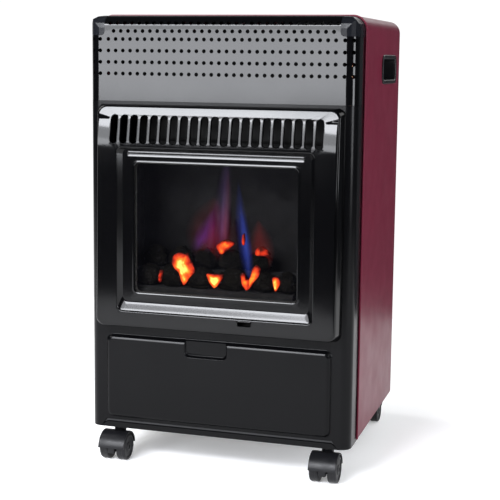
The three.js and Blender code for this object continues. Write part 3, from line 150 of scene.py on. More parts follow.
def inside_polygon(points, polygon):
    """Which of the points, an N x 2 array, lie inside the polygon."""
    corners = np.array(polygon)
    inside = np.zeros(len(points), bool)
    near = np.all((points >= corners.min(0)) & (points <= corners.max(0)), axis=1)
    x, y = points[near, 0], points[near, 1]
    odd = np.zeros(len(x), bool)
    for (x0, y0), (x1, y1) in zip(corners, np.roll(corners, -1, axis=0)):
        crosses = (y0 > y) != (y1 > y)
        if not crosses.any():
            continue
        at = x0 + (x1 - x0) * (y - y0) / (y1 - y0 if y1 != y0 else 1)
        odd ^= crosses & (x < at)
    inside[near] = odd
    return inside


# ---- meshes
def shade(mesh, sharp_angle=32):
    mesh.polygons.foreach_set("use_smooth", [True] * len(mesh.polygons))
    mesh.set_sharp_from_angle(angle=math.radians(sharp_angle))


def mesh_from(name, bm):
    """A mesh with the bmesh's content. The bmesh is used up."""
    mesh = bpy.data.meshes.new(name)
    bm.to_mesh(mesh)
    bm.free()
    return mesh


def put(name, data):
    """A new object in the scene."""
    made = bpy.data.objects.new(name, data)
    bpy.context.scene.collection.objects.link(made)
    return made


def add_piece(name, bm, look, body="root", replaces=(), sharp_angle=32, weighted=True):
    """Makes a shown piece of the object from a bmesh, and ties it to its body."""
    bmesh.ops.recalc_face_normals(bm, faces=bm.faces)
    mesh = mesh_from(name, bm)
    shade(mesh, sharp_angle)
    mesh.materials.append(look)
    piece = put(name, mesh)
    if weighted:
        modifier = piece.modifiers.new("even_shading", "WEIGHTED_NORMAL")
        modifier.keep_sharp = True
    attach(piece, body)
    if replaces:
        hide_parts(*replaces)
    return piece


class Sheet:
    """A pressed sheet drawn flat as lines and rings at their heights, then set in place."""

    def __init__(self, outline, height=None):
        self.points, self.edges, self.holes = [], [], []
        self.known = {}
        self.height = height or (lambda a, b: 0.0)
        self.outline = outline
        self.ring(outline)

    def line(self, points, heights=None, closed=False):
        start = len(self.points)
        count = len(points)
        self.points += [Vector(p) for p in points]
        if heights is not None:
            for i, value in enumerate(heights):
                self.known[start + i] = value
        last = count if closed else count - 1
        self.edges += [(start + i, start + (i + 1) % count) for i in range(last)]

    def ring(self, points, height=None):
        if height is None:
            heights = None
        elif callable(height):
            heights = [height(*p) for p in points]
        else:
            heights = [height] * len(points)
        self.line(points, heights, closed=True)

    def hole(self, points, height=None):
        self.ring(points, height)
        self.holes.append(points)

    def build(self, place, thickness=SHEET):
        """A closed bmesh: the sheet's face, its back at the given thickness, and its edges."""
        flat, _, faces, origin, _, _ = delaunay_2d_cdt(self.points, self.edges, [], 0, 1e-7)
        heights = []
        for point, sources in zip(flat, origin):
            values = [self.known[i] for i in sources if i in self.known]
            heights.append(values[-1] if values else self.height(point.x, point.y))
        corners = np.array([tuple(p) for p in flat])
        triangles = np.array([f for f in faces if len(f) == 3])
        middles = corners[triangles].mean(axis=1)
        keep = inside_polygon(middles, self.outline)
        for polygon in self.holes:
            keep &= ~inside_polygon(middles, polygon)
        bm = bmesh.new()
        front = [bm.verts.new(place(p.x, p.y, h)) for p, h in zip(flat, heights)]
        back = [bm.verts.new(place(p.x, p.y, h - thickness)) for p, h in zip(flat, heights)]
        counted = {}
        for a, b, c in triangles[keep]:
            bm.faces.new((front[a], front[b], front[c]))
            bm.faces.new((back[c], back[b], back[a]))
            for pair in ((a, b), (b, c), (c, a)):
                counted[pair] = counted.get(pair, 0) + 1
        for a, b in counted:
            if (b, a) not in counted:
                bm.faces.new((front[b], front[a], back[a], back[b]))
        loose = [v for v in bm.verts if not v.link_faces]
        bmesh.ops.delete(bm, geom=loose, context="VERTS")
        return bm


def join(bm, one, two, closed=True):
    """Makes the faces between two rows of vertices, right round if the rows are closed."""
    for i in range(len(one) if closed else len(one) - 1):
        j = (i + 1) % len(one)
        bm.faces.new((one[i], one[j], two[j], two[i]))


def mirrored(half):
    """A closed profile from the half of it at negative distances along the axis."""
    return half + [(radius, -along) for radius, along in reversed(half)]


def in_metres(pairs):
    return [(a * MM, b * MM) for a, b in pairs]


def revolved(profile, axis, centre, steps=48, start=0.0, sweep=TAU, wave=None):
    """A bmesh turned about an axis. The profile is a closed loop of (radius, distance along)."""
    whole = abs(sweep - TAU) < 1e-9
    bm = bmesh.new()
    rings = []
    for i in range(steps if whole else steps + 1):
        angle = start + sweep * i / steps
        ring = []
        for radius, along in profile:
            r = wave(angle, radius, along) if wave else radius
            a, b = r * math.cos(angle), r * math.sin(angle)
            spot = {"x": (along, a, b), "y": (b, along, a), "z": (a, b, along)}[axis]
            ring.append(bm.verts.new(Vector(centre) + Vector(spot)))
        rings.append(ring)
    for one, two in zip(rings, rings[1:] + rings[:1] if whole else rings[1:]):
        join(bm, one, two)
    if not whole:
        bm.faces.new(rings[0][::-1])
        bm.faces.new(rings[-1])
    bmesh.ops.remove_doubles(bm, verts=bm.verts, dist=1e-6)
    return bm


def soften(piece, width, segments=2, angle=35):
    """Rounds a piece's edges with a bevel, and evens the shading."""
    modifier = piece.modifiers.new("soft_edges", "BEVEL")
    modifier.width = width
    modifier.segments = segments
    modifier.limit_method = "ANGLE"
    modifier.angle_limit = math.radians(angle)
    modifier.harden_normals = True
    shade(piece.data)


def merged(*parts):
    """Several bmeshes as one."""
    whole = bmesh.new()
    for part in parts:
        mesh = mesh_from("part", part)
        whole.from_mesh(mesh)
        bpy.data.meshes.remove(mesh)
    return whole


# ---- finishes
class Nodes:
    """Adds nodes to a tree and links them."""

    def __init__(self, tree):
        self.tree = tree

    def node(self, kind, **settings):
        made = self.tree.nodes.new(kind)
        for key, value in settings.items():
            setattr(made, key, value)
        return made

    def link(self, source, target):
        self.tree.links.new(source, target)

    def between(self, factor, low, high, from_low=0.35, from_high=0.65, **settings):
        """A factor brought from its usual range to low and high."""
        made = self.node("ShaderNodeMapRange", **settings)
        self.link(factor, made.inputs["Value"])
        made.inputs["From Min"].default_value = from_low
        made.inputs["From Max"].default_value = from_high
        made.inputs["To Min"].default_value = low
        made.inputs["To Max"].default_value = high
        return made.outputs["Result"]

    def number(self, operation, *terms, **settings):
        """The sum or product of two terms, each an output or a plain float."""
        made = self.node("ShaderNodeMath", operation=operation, **settings)
        for socket, term in zip(made.inputs, terms):
            if isinstance(term, float):
                socket.default_value = term
            else:
                self.link(term, socket)
        return made.outputs["Value"]

    def mix(self, factor, one, two):
        made = self.node("ShaderNodeMix", data_type="RGBA")
        self.link(factor, made.inputs["Factor"])
        made.inputs["A"].default_value = (*one, 1)
        made.inputs["B"].default_value = (*two, 1)
        return made.outputs["Result"]


class Look(Nodes):
    """A node material whose colour, gloss and bump vary with the piece's own coordinates."""

    def __init__(self, name, colour, roughness, metallic=0.0, **sockets):
        self.material = bpy.data.materials.new(name)
        self.material.use_nodes = True
        super().__init__(self.material.node_tree)
        self.shader = self.tree.nodes["Principled BSDF"]
        self.output = self.tree.nodes["Material Output"]
        self.shader.inputs["Base Color"].default_value = (*colour, 1)
        self.shader.inputs["Roughness"].default_value = roughness
        self.shader.inputs["Metallic"].default_value = metallic
        for socket, value in sockets.items():
            self.shader.inputs[socket.replace("_", " ")].default_value = value
        self.place = self.node("ShaderNodeTexCoord").outputs["Object"]
        self.last_bump = None
        self.colour = colour

    def noise(self, scale, detail=3.0, stretch=None, distortion=0.0):
        """Noise that repeats about every 1 / scale metres, stretched along an axis if asked."""
        made = self.node("ShaderNodeTexNoise")
        made.inputs["Scale"].default_value = scale
        made.inputs["Detail"].default_value = detail
        made.inputs["Distortion"].default_value = distortion
        self.link(self.stretched(stretch), made.inputs["Vector"])
        return made.outputs["Fac"]

    def cells(self, scale, feature="F1", output="Distance", stretch=None):
        made = self.node("ShaderNodeTexVoronoi", feature=feature)
        made.inputs["Scale"].default_value = scale
        self.link(self.stretched(stretch), made.inputs["Vector"])
        return made.outputs[output]

    def stretched(self, stretch):
        if stretch is None:
            return self.place
        mapping = self.node("ShaderNodeMapping")
        mapping.inputs["Scale"].default_value = stretch
        self.link(self.place, mapping.inputs["Vector"])
        return mapping.outputs["Vector"]

    def paint(self, factor, one, two):
        """Lets the base colour vary between two."""
        self.link(self.mix(factor, one, two), self.shader.inputs["Base Color"])

    def tones(self, factor, low, high):
        """Lets the base colour vary between low and high times its own value."""
        one, two = (tuple(min(c * by, 1) for c in self.colour) for by in (low, high))
        self.paint(factor, one, two)

    def gloss(self, scale, detail, low, high):
        """Lets the roughness vary between low and high, as noise does."""
        varied = self.between(self.noise(scale, detail), low, high)
        self.link(varied, self.shader.inputs["Roughness"])

    def bump(self, factor, depth, strength=1.0):
        """Adds a relief whose full height is depth, in metres."""
        made = self.node("ShaderNodeBump")
        made.inputs["Strength"].default_value = strength
        made.inputs["Distance"].default_value = depth
        self.link(factor, made.inputs["Height"])
        if self.last_bump:
            self.link(self.last_bump, made.inputs["Normal"])
        self.link(made.outputs["Normal"], self.shader.inputs["Normal"])
        self.last_bump = made.outputs["Normal"]

    def shades(self, scale, amount, detail=3.0, stretch=None):
        """Lightens and darkens the base colour a little, in soft patches."""
        factor = self.between(self.noise(scale, detail, stretch), 0, 1)
        self.tones(factor, 1 - amount, 1 + amount)


def enamel(name, colour, roughness, patch=0.06, **sockets):
    """Sprayed and stoved enamel: faint patches, an orange-peel skin and fine dust in the gloss."""
    look = Look(name, colour, roughness, **sockets)
    look.shades(9, patch)
    look.gloss(14, 5, roughness * 0.88, roughness * 1.15)
    look.bump(look.noise(420, 2), 0.015 * MM, 0.4)
    look.bump(look.noise(6, 1), 0.25 * MM, 0.2)
    return look.material


def powder_coat(name, colour, roughness):
    look = Look(name, colour, roughness, Specular_IOR_Level=0.25)
    look.shades(30, 0.12)
    look.gloss(60, 4, roughness * 0.85, roughness * 1.15)
    look.bump(look.noise(1500, 3), 0.05 * MM, 0.6)
    return look.material


def moulded(name, colour, roughness, grain=0.05, shine=0.2):
    """Moulded plastic with a fine spark-eroded grain."""
    look = Look(name, colour, roughness, Specular_IOR_Level=shine)
    look.shades(40, 0.1)
    look.gloss(90, 4, roughness * 0.85, roughness * 1.2)
    look.bump(look.cells(1400), grain * MM, 0.4)
    return look.material


def zinc(name, colour, roughness):
    """Zinc-plated steel: crystal patches of slightly different grey, with rolling marks."""
    look = Look(name, colour, roughness, metallic=0.9)
    patches = look.cells(90, output="Color")
    grey = look.node("ShaderNodeRGBToBW")
    look.link(patches, grey.inputs["Color"])
    look.tones(look.between(grey.outputs["Val"], 0, 1, 0.2, 0.8), 0.75, 1)
    look.gloss(25, 5, roughness * 0.8, roughness * 1.3)
    look.bump(look.noise(300, 2, stretch=(1, 1, 0.05)), 0.02 * MM, 0.3)
    return look.material


def sooted(name, colour, roughness):
    """Heat-darkened steel with brown and grey bloom. A near-black colour given here also serves as
    painted shade on parts deep inside the cabinet.
    """
    look = Look(name, colour, roughness, Specular_IOR_Level=0.15)
    bloom = look.between(look.noise(22, 6, distortion=0.6), 0, 1)
    look.tones(bloom, 0.5, 1.6)
    look.gloss(50, 4, roughness * 0.8, roughness * 1.1)
    look.bump(look.noise(500, 3), 0.03 * MM, 0.3)
    return look.material


def drawn_metal(name, colour, roughness):
    look = Look(name, colour, roughness, metallic=1.0)
    tarnish = look.between(look.noise(60, 5), 0, 1)
    look.tones(tarnish, 0.6, 1)
    look.gloss(120, 4, roughness * 0.8, roughness * 1.4)
    look.bump(look.noise(700, 2), 0.02 * MM, 0.4)
    return look.material


def woven_fibre(name, colour):
    look = Look(name, colour, 0.95)
    wave = look.node("ShaderNodeTexWave", bands_direction="DIAGONAL")
    wave.inputs["Scale"].default_value = 160
    wave.inputs["Distortion"].default_value = 2
    look.link(look.place, wave.inputs["Vector"])
    look.tones(wave.outputs["Fac"], 0.5, 1)
    look.bump(wave.outputs["Fac"], 0.4 * MM)
    return look.material


def fired_clay(name, colour, roughness, pits=0.5):
    look = Look(name, colour, roughness)
    ash = look.between(look.noise(55, 6), 0, 1, 0.5, 0.7)
    look.paint(ash, colour, tuple(min(c * 1.9 + 0.01, 1) for c in colour))
    look.bump(look.cells(420), pits * MM, 0.7)
    look.bump(look.noise(180, 6), 1.2 * pits * MM, 0.8)
    return look.material


def imitation_coal(name, colour):
    """Broken ceramic coal with paler ash in its hollows."""
    look = Look(name, colour, 0.9, Specular_IOR_Level=0.05)
    ash = look.between(look.noise(70, 6), 0, 1, 0.45, 0.7)
    look.tones(ash, 1, 2.2)
    look.bump(look.noise(160, 7), 1.4 * MM, 0.8)
    return look.material


EMBER_COLOURS = (
    (0.0, (0.012, 0.0, 0.0)),
    (0.15, (0.12, 0.004, 0.002)),
    (0.36, (0.55, 0.022, 0.006)),
    (0.62, (0.85, 0.09, 0.012)),
    (0.86, (1.0, 0.3, 0.025)),
    (1.0, (1.0, 0.82, 0.16)),
)
EMBER_GLOW = 2.0


def ember(name):
    """A glowing ember, by its mesh's ember_heat: 1 in its heart and falling to its rim."""
    look = Look(name, (0.02, 0.008, 0.004), 0.9, Specular_IOR_Level=0.1)
    heat = look.node("ShaderNodeAttribute", attribute_name="ember_heat").outputs["Fac"]
    ash = look.between(look.noise(110, 6), -0.3, 0.2, 0.3, 0.7)
    colours = look.node("ShaderNodeValToRGB")
    look.link(look.number("ADD", heat, ash, use_clamp=True), colours.inputs["Fac"])
    band = colours.color_ramp.elements
    for end in (0, -1):
        band[end].color = (*EMBER_COLOURS[end][1], 1)
    for position, colour in EMBER_COLOURS[1:-1]:
        band.new(position).color = (*colour, 1)
    look.link(colours.outputs["Color"], look.shader.inputs["Emission Color"])
    look.shader.inputs["Emission Strength"].default_value = EMBER_GLOW
    look.bump(look.noise(220, 5), 0.8 * MM, 0.6)
    return look.material


def flame_gas(name, colour, strength):
    """Burning gas: light only, thinning out as the mesh's gas_density attribute does."""
    look = Look(name, (0, 0, 0), 1.0)
    density = look.node("ShaderNodeAttribute", attribute_name="gas_density").outputs["Fac"]
    wisps = look.between(look.noise(70, 4, stretch=(1, 1, 0.3)), 0.5, 1.2, 0.3, 0.7)
    amount = look.number("MULTIPLY", density, wisps, use_clamp=True)
    light = look.node("ShaderNodeEmission")
    light.inputs["Color"].default_value = (*colour, 1)
    look.link(look.number("MULTIPLY", amount, strength), light.inputs["Strength"])
    clear = look.node("ShaderNodeBsdfTransparent")
    both = look.node("ShaderNodeAddShader")
    look.link(clear.outputs["BSDF"], both.inputs[0])
    look.link(light.outputs["Emission"], both.inputs[1])
    look.link(both.outputs["Shader"], look.output.inputs["Surface"])
    return look.material


def tinted_glass(name):
    look = Look(name, (0.003, 0.003, 0.004), 0.04, Alpha=0.2, Specular_IOR_Level=0.1)
    look.shades(20, 0.3)
    look.gloss(18, 6, 0.03, 0.09)
    return look.material


RED = enamel("red_enamel", (0.102, 0.0085, 0.022), 0.32, 0.02, Specular_IOR_Level=0.1)
BLACK = enamel("black_enamel", (0.001, 0.001, 0.0012), 0.1, Specular_IOR_Level=0.22)
SATIN = enamel("satin_enamel", (0.0015, 0.0015, 0.0018), 0.2, Specular_IOR_Level=0.11)
POWDER = powder_coat("powder_coat", (0.014, 0.014, 0.015), 0.5)
GREY_PLASTIC = moulded("grey_plastic", (0.005, 0.0055, 0.007), 0.26, shine=0.09)
BLACK_PLASTIC = moulded("black_plastic", (0.006, 0.006, 0.007), 0.36)
TREAD = moulded("tread", (0.008, 0.008, 0.009), 0.42, grain=0.08)
STEEL = zinc("zinc_steel", (0.42, 0.43, 0.45), 0.35)
# Near black: soot on the pilot burner, and painted shade on the heat partition and the air
# deflector, which stand in the cabinet's shade behind the slots and the grille's holes.
SOOT_AND_SHADE_STEEL = sooted("soot_and_shade_steel", (0.006, 0.006, 0.006), 0.6)
SOOT = sooted("sooted_steel", (0.0025, 0.0022, 0.002), 0.7)
BRASS = drawn_metal("brass", (0.62, 0.44, 0.18), 0.3)
COPPER = drawn_metal("copper", (0.66, 0.32, 0.18), 0.3)
FIBRE = woven_fibre("fibre_rope", (0.06, 0.058, 0.052))
CLAY = fired_clay("ember_bed", (0.003, 0.0026, 0.002), 0.95)
COAL = imitation_coal("coal", (0.0035, 0.003, 0.002))
EMBER = ember("ember")
PORCELAIN = fired_clay("white_ceramic", (0.75, 0.73, 0.68), 0.35, pits=0.03)
GLASS = tinted_glass("window_glass")


# ---- carried-over parts
def dress(name, look, edge=0.3 * MM):
    """Gives a part of the frame its finish, and rounds its edges."""
    part = NODES[name]
    part.data.materials.clear()
    part.data.materials.append(look)
    if edge:
        soften(part, edge)


PLAIN_PARTS = {
    "base_pan": (POWDER, 0.4 * MM),
    "corner_cap_left": (GREY_PLASTIC, 0.5 * MM),
    "corner_cap_right": (GREY_PLASTIC, 0.5 * MM),
    "window_glass": (GLASS, 0.5 * MM),
    "window_gasket": (FIBRE, 0.5 * MM),
    "firebox": (SOOT, 0.3 * MM),
    "burner_tube": (SOOT, 0.3 * MM),
    "burner_bracket_left": (SOOT, 0.2 * MM),
    "burner_bracket_right": (SOOT, 0.2 * MM),
    "coal_tray": (CLAY, 0.8 * MM),
    "pilot_burner": (SOOT_AND_SHADE_STEEL, 0.2 * MM),
    "thermocouple": (COPPER, 0.1 * MM),
    "spark_electrode": (PORCELAIN, 0.1 * MM),
    # Painted shade: the heat partition and the air deflector are near black so that the shade
    # inside the cabinet shows black through the slots and holes.
    "heat_partition": (SOOT_AND_SHADE_STEEL, 0.3 * MM),
    "air_deflector": (SOOT_AND_SHADE_STEEL, 0.2 * MM),
    "valve_spindle": (STEEL, 0.2 * MM),
    "piezo_unit": (BLACK_PLASTIC, 0.3 * MM),
    "gas_valve": (BRASS, 0.5 * MM),
    "hose_nozzle": (BRASS, 0.1 * MM),
    "gas_pipe": (COPPER, 0),
}


def dress_plain_parts():
    for name, (look, edge) in PLAIN_PARTS.items():
        dress(name, look, edge)
    for name in NODES:
        if name.startswith("caster_socket"):
            dress(name, STEEL, 0.3 * MM)
    shade(NODES["gas_pipe"].data, 50)


# ---- red wrap
HANDLE_LOW, HANDLE_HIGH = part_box("handle_left")
HANDLE_Y = (HANDLE_LOW.y + HANDLE_HIGH.y) / 2
HANDLE_Z = (HANDLE_LOW.z + HANDLE_HIGH.z) / 2
HANDLE_LENGTH = 112 * MM
HANDLE_OPENING = 36 * MM
HANDLE_CORNER = 9 * MM
WELL_X, WELL_Y, _ = foot("control_well")
WELL_LENGTH = 128 * MM
WELL_BREADTH = 74 * MM
WELL_CORNER = 14 * MM
WELL = centred(WELL_X, WELL_Y, WELL_LENGTH, WELL_BREADTH, WELL_CORNER)
ARCH_FLAT = HALF_WIDTH - TOP_RADIUS
ARCH_REACH = ARCH_FLAT + QUARTER * TOP_RADIUS + BODY_TOP - TOP_RADIUS - WRAP_LOW.z
REAR_BEND = 1.8 * MM
REAR_FLANGE = 14 * MM
HEM_LENGTH = 4 * MM
HEM_RISE = [(0, 0.2), (0.1, 0.65), (0.25, 0.95), (0.5, 1.0), (0.75, 0.95), (0.9, 0.65), (1, 0)]


def wrap_place(s, t, lift):
    """s runs over the arch from the middle of the top, and t runs back."""
    y, sink = bend(t, WRAP_HIGH.y - REAR_BEND, REAR_BEND, lift)
    across, down = bend(abs(s), ARCH_FLAT, TOP_RADIUS, -sink)
    return Vector((math.copysign(across, s), y, BODY_TOP - down))


def hem_height(_, t):
    share = (t - WRAP_LOW.y) / HEM_LENGTH
    for (x0, h0), (x1, h1) in zip(HEM_RISE, HEM_RISE[1:]):
        if share <= x1:
            return HEM_PROUD * (h0 + (h1 - h0) * max(share - x0, 0) / (x1 - x0))
    return 0.0


def arch_distance(z):
    """How far along the arch the height z lies on a side."""
    return ARCH_FLAT + QUARTER * TOP_RADIUS + BODY_TOP - TOP_RADIUS - z


def make_wrap():
    front = WRAP_LOW.y
    end = WRAP_HIGH.y - REAR_BEND + QUARTER * REAR_BEND + REAR_FLANGE
    outline = [(-ARCH_REACH, front), (ARCH_REACH, front), (ARCH_REACH, end), (-ARCH_REACH, end)]
    sheet = Sheet(outline, hem_height)
    for share, _ in HEM_RISE[1:]:
        t = front + share * HEM_LENGTH
        sheet.line([(-ARCH_REACH, t), (ARCH_REACH, t)])
    for side in (-1, 1):
        for i in range(2 * BEND_STEPS + 1):
            s = side * (ARCH_FLAT + QUARTER * TOP_RADIUS * i / (2 * BEND_STEPS))
            sheet.line([(s, front), (s, end)])
        middle = side * arch_distance(HANDLE_Z)
        handle = centred(middle, HANDLE_Y, HANDLE_OPENING, HANDLE_LENGTH, HANDLE_CORNER)
        sheet.hole(rounded(*handle))
    for i in range(5):
        t = WRAP_HIGH.y - REAR_BEND + QUARTER * REAR_BEND * i / 4
        sheet.line([(-ARCH_REACH, t), (ARCH_REACH, t)])
    sheet.hole(grown(WELL, 0, 8))
    skin = sheet.build(wrap_place)
    add_piece("wrap_skin", skin, RED, replaces=["cabinet_wrap"])


# ---- front sheets
GRILLE_BOTTOM = GRILLE_LOW.z
FRAME_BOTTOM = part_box("front_frame")[0].z
CAP_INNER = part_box("corner_cap_right")[0].x
CAP_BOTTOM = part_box("corner_cap_right")[0].z
CAP_GAP = 0.3 * MM
CAP_CORNER = 6 * MM
HOLE_PITCH = 11.74 * MM
HOLE_RADIUS = 3 * MM
HOLE_STEPS = 14
HOLES_A_SIDE = 15
HOLE_REACH = HOLES_A_SIDE * HOLE_PITCH
CORNER_PITCH = 13.3 * MM
ROW_PITCH = 17.2 * MM
LOWEST_ROW = 608.4 * MM
ROW_COUNT = 4
UPPER_SHIFT = 2.6 * MM
STAGGERED_ROW = 672 * MM
BEND_ROW = 684 * MM
GRILLE_SHEET = 1.0 * MM


def front_place(s, t, lift):
    """s runs across the front from its middle and round both corners, t runs up and over."""
    if abs(s) > FLAT_HALF:
        across, back = bend(abs(s), FLAT_HALF, CORNER_RADIUS, lift)
        return Vector((math.copysign(across, s), FRONT + back, t))
    up, back = bend(t, FLAT_TOP, TOP_BEND, lift)
    return Vector((s, FRONT + back, up))


def corner_lines(sheet, low, high):
    for side in (-1, 1):
        for i in range(BEND_STEPS + 1):
            s = side * (FLAT_HALF + QUARTER * CORNER_RADIUS * i / BEND_STEPS)
            sheet.line([(s, low), (s, high)])


def make_grille():
    inner = CAP_INNER - CAP_GAP
    low, high = GRILLE_BOTTOM, CAP_BOTTOM - CAP_GAP
    outline = [
        (-SIDE_REACH, low),
        (SIDE_REACH, low),
        (SIDE_REACH, high),
        *arc((inner + CAP_CORNER, high + CAP_CORNER), CAP_CORNER, -QUARTER, -2 * QUARTER, 6),
        (inner, TOP_REACH),
        (-inner, TOP_REACH),
        *arc((-inner - CAP_CORNER, high + CAP_CORNER), CAP_CORNER, 0, -QUARTER, 6),
        (-SIDE_REACH, high),
    ]
    sheet = Sheet(outline)
    corner_lines(sheet, low, high)
    for i in range(BEND_STEPS + 1):
        t = FLAT_TOP + QUARTER * TOP_BEND * i / BEND_STEPS
        sheet.line([(-inner, t), (inner, t)])
    columns = [i * HOLE_PITCH for i in range(-HOLES_A_SIDE, HOLES_A_SIDE + 1)]
    corners = [HOLE_REACH + CORNER_PITCH, HOLE_REACH + 2 * CORNER_PITCH]
    for row in range(ROW_COUNT):
        z = LOWEST_ROW + row * ROW_PITCH
        for s in columns + corners + [-corner for corner in corners]:
            sheet.hole(circle(s, z, HOLE_RADIUS, HOLE_STEPS))
    upper = [(s - HOLE_PITCH / 2, STAGGERED_ROW) for s in columns[1:]]
    for s, z in upper + [(s, BEND_ROW) for s in columns]:
        sheet.hole(circle(s + UPPER_SHIFT, z, HOLE_RADIUS, HOLE_STEPS))
    skin = sheet.build(front_place, GRILLE_SHEET)
    add_piece("grille_skin", skin, BLACK, replaces=["top_grille"])


PAD = (-181 * MM, 181 * MM, 72 * MM, 206 * MM, 12 * MM)
PAD_RAISE = 7 * MM
PAD_BEVEL = 8 * MM
# The bevel's shoulder, from 0.6 to 0.9 of its width, slopes gently so that it catches the light.
PAD_PROFILE = [(0, 0), (0.1, 0.06), (0.2, 0.22), (0.5, 0.76), (0.6, 0.84), (0.9, 0.984), (1, 1)]
NOTCH = (-47 * MM, 15 * MM, 182 * MM, 230 * MM, 5 * MM)
NOTCH_TOP = PAD[3] + 2 * MM
NOTCH_FLOOR = 2.5 * MM
NOTCH_WALL = 4 * MM
GROOVE_Z = 66 * MM
GROOVE_HALF = 2.6 * MM
GROOVE_DEPTH = 2.2 * MM
SURROUND_MARGIN = 24 * MM
SURROUND_LOW, SURROUND_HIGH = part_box("fire_surround")


def pad_height(x, z):
    shares, rises = zip(*PAD_PROFILE)
    height = PAD_RAISE * float(np.interp(-gap_outside(x, z, PAD) / PAD_BEVEL, shares, rises))
    wall = ramp(gap_outside(x, z, NOTCH) / NOTCH_WALL)
    height = min(height, NOTCH_FLOOR + (PAD_RAISE - NOTCH_FLOOR) * wall)
    off = abs(z - GROOVE_Z) / GROOVE_HALF
    if off < 1 and abs(x) < PAD[1]:
        height -= GROOVE_DEPTH * (1 - off * off)
    return height


def make_front_frame():
    low, high = FRAME_BOTTOM, GRILLE_BOTTOM - CAP_GAP
    outline = [(-SIDE_REACH, low), (SIDE_REACH, low), (SIDE_REACH, high), (-SIDE_REACH, high)]
    sheet = Sheet(outline, pad_height)
    corner_lines(sheet, low, high)
    for i in range(11):
        sheet.ring(grown(PAD, -PAD_BEVEL * i / 10, 8))
    for i in range(7):
        sheet.line(notch_line(NOTCH_WALL * i / 6))
    for i in range(7):
        z = GROOVE_Z + GROOVE_HALF * (i / 3 - 1)
        sheet.line([(-PAD[1], z), (PAD[1], z)])
    half = SURROUND_HIGH.x - SURROUND_MARGIN
    z0, z1 = SURROUND_LOW.z + SURROUND_MARGIN / 2, SURROUND_HIGH.z - SURROUND_MARGIN / 2
    sheet.hole(rounded(-half, half, z0, z1, 12 * MM))
    skin = sheet.build(front_place)
    add_piece("front_skin", skin, SATIN, replaces=["front_frame"])


def u_line(half, low, high, radius, steps=8):
    """Up the left side, round the two top corners and down the right side."""
    left = arc((-half + radius, high - radius), radius, math.pi, QUARTER, steps)
    right = arc((half - radius, high - radius), radius, QUARTER, 0, steps)
    return [(-half, low)] + left + right + [(half, low)]


def notch_line(out):
    """The notch's outline from the top of its right side, open above and drawn larger by out."""
    x0, x1, z0, _, radius = NOTCH
    line = u_line((x1 - x0) / 2 + out, -NOTCH_TOP, out - z0, radius + out, 6)
    return [((x0 + x1) / 2 + x, -z) for x, z in reversed(line)]


# ---- fire surround
SURROUND_PROUD = FRONT - SURROUND_LOW.y
STRIP_START = 497 * MM
STRIP_STRAIGHT = 540 * MM
STRIP_SLOPE = 15 / 49
SURROUND_CORNER = 12 * MM
BASE_HEIGHT = 1.5 * MM
# How far in from the outline, in millimetres, and the share of the height reached there.
WALL_PROFILE = [(0.0, 0.0), (2.0, 0.38), (4.0, 0.8), (4.6, 0.9), (5.4, 0.96), (6.4, 0.99)]
WALL_PROFILE += [(8.0, 1.0)]
MOUTH = (-153 * MM, 153 * MM, 248 * MM, 498 * MM, 8 * MM)
MOUTH_LIP = [(2.2, 0.0), (1.2, 0.2), (0.5, 0.6), (0.0, 1.4)]
RECESS_DRAFT = 6 * MM
SILL_RISE = 14 * MM
GLASS_GAP = 0.5 * MM
RECESS_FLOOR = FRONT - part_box("window_glass")[0].y + GLASS_GAP + SHEET
# The share of the recess's depth reached, and of the sill's rise.
RECESS_STEPS = [(0.05, 0.02), (0.14, 0.08), (0.31, 0.29), (0.48, 0.505), (0.65, 0.72)]
RECESS_STEPS += [(0.82, 0.93), (0.9, 0.98), (1.0, 1.0)]
RECESS_TOP_DRAFT = 2 * MM
BEAD = (-140 * MM, 138 * MM, 484.6 * MM, 492.6 * MM, 3.6 * MM)
# Profiles of rims and lips: how far out or in, and how high, in millimetres.
BEAD_UPPER = [(0.0, 0.0), (0.4, 0.1), (1.3, 0.35), (1.9, 0.42), (2.4, -0.1), (3.4, -0.1)]
BEAD_LOWER = [(0.0, 0.0), (0.4, 0.75), (1.3, 0.5), (1.9, 0.33), (2.4, 0.19), (3.4, -0.09)]
WINDOW = (-128 * MM, 128 * MM, 276 * MM, 475 * MM, 7 * MM)
WINDOW_RIM = [(4.0, 0.0), (3.5, 0.08), (2.2, 0.45), (1.5, 0.64), (1.2, 0.62), (0.0, 0.12)]
SLOT_COUNT = 21
SLOT_PITCH = 15.9 * MM
SLOT_HALF = 4.8 * MM
SLOT_LOW = 505 * MM
SLOT_HIGH = 546 * MM
SLOT_LIP = [(1.8, 0.0), (1.4, 0.22), (0.9, 0.3), (0.5, 0.1), (0.2, -0.5)]
SLOT_EDGE = 1.6 * MM
LATCH = (40 * MM, 60 * MM, 238 * MM, 244 * MM, 1.0 * MM)
LATCH_LIP = [(2.0, 0.0), (1.3, 0.6), (0.7, 0.7), (0.2, 0.1)]
LATCH_EDGE = 1 * MM


def face_height(_, z):
    """The frame's front face stands proud and leans back towards the top."""
    over = min(max(z - STRIP_START, 0), STRIP_STRAIGHT - STRIP_START)
    lean = STRIP_SLOPE * over * over / (2 * (STRIP_STRAIGHT - STRIP_START))
    lean += STRIP_SLOPE * max(z - STRIP_STRAIGHT, 0)
    return SURROUND_PROUD - lean


def front_face_place(x, z, lift):
    return Vector((x, FRONT - lift, z))


def wall_ring(inset, share):
    half = SURROUND_HIGH.x - inset
    z0, z1 = SURROUND_LOW.z + inset, SURROUND_HIGH.z - 0.6 * inset
    points = rounded(-half, half, z0, z1, SURROUND_CORNER, 8)
    heights = [BASE_HEIGHT + (face_height(*p) - BASE_HEIGHT) * share for p in points]
    return points, heights


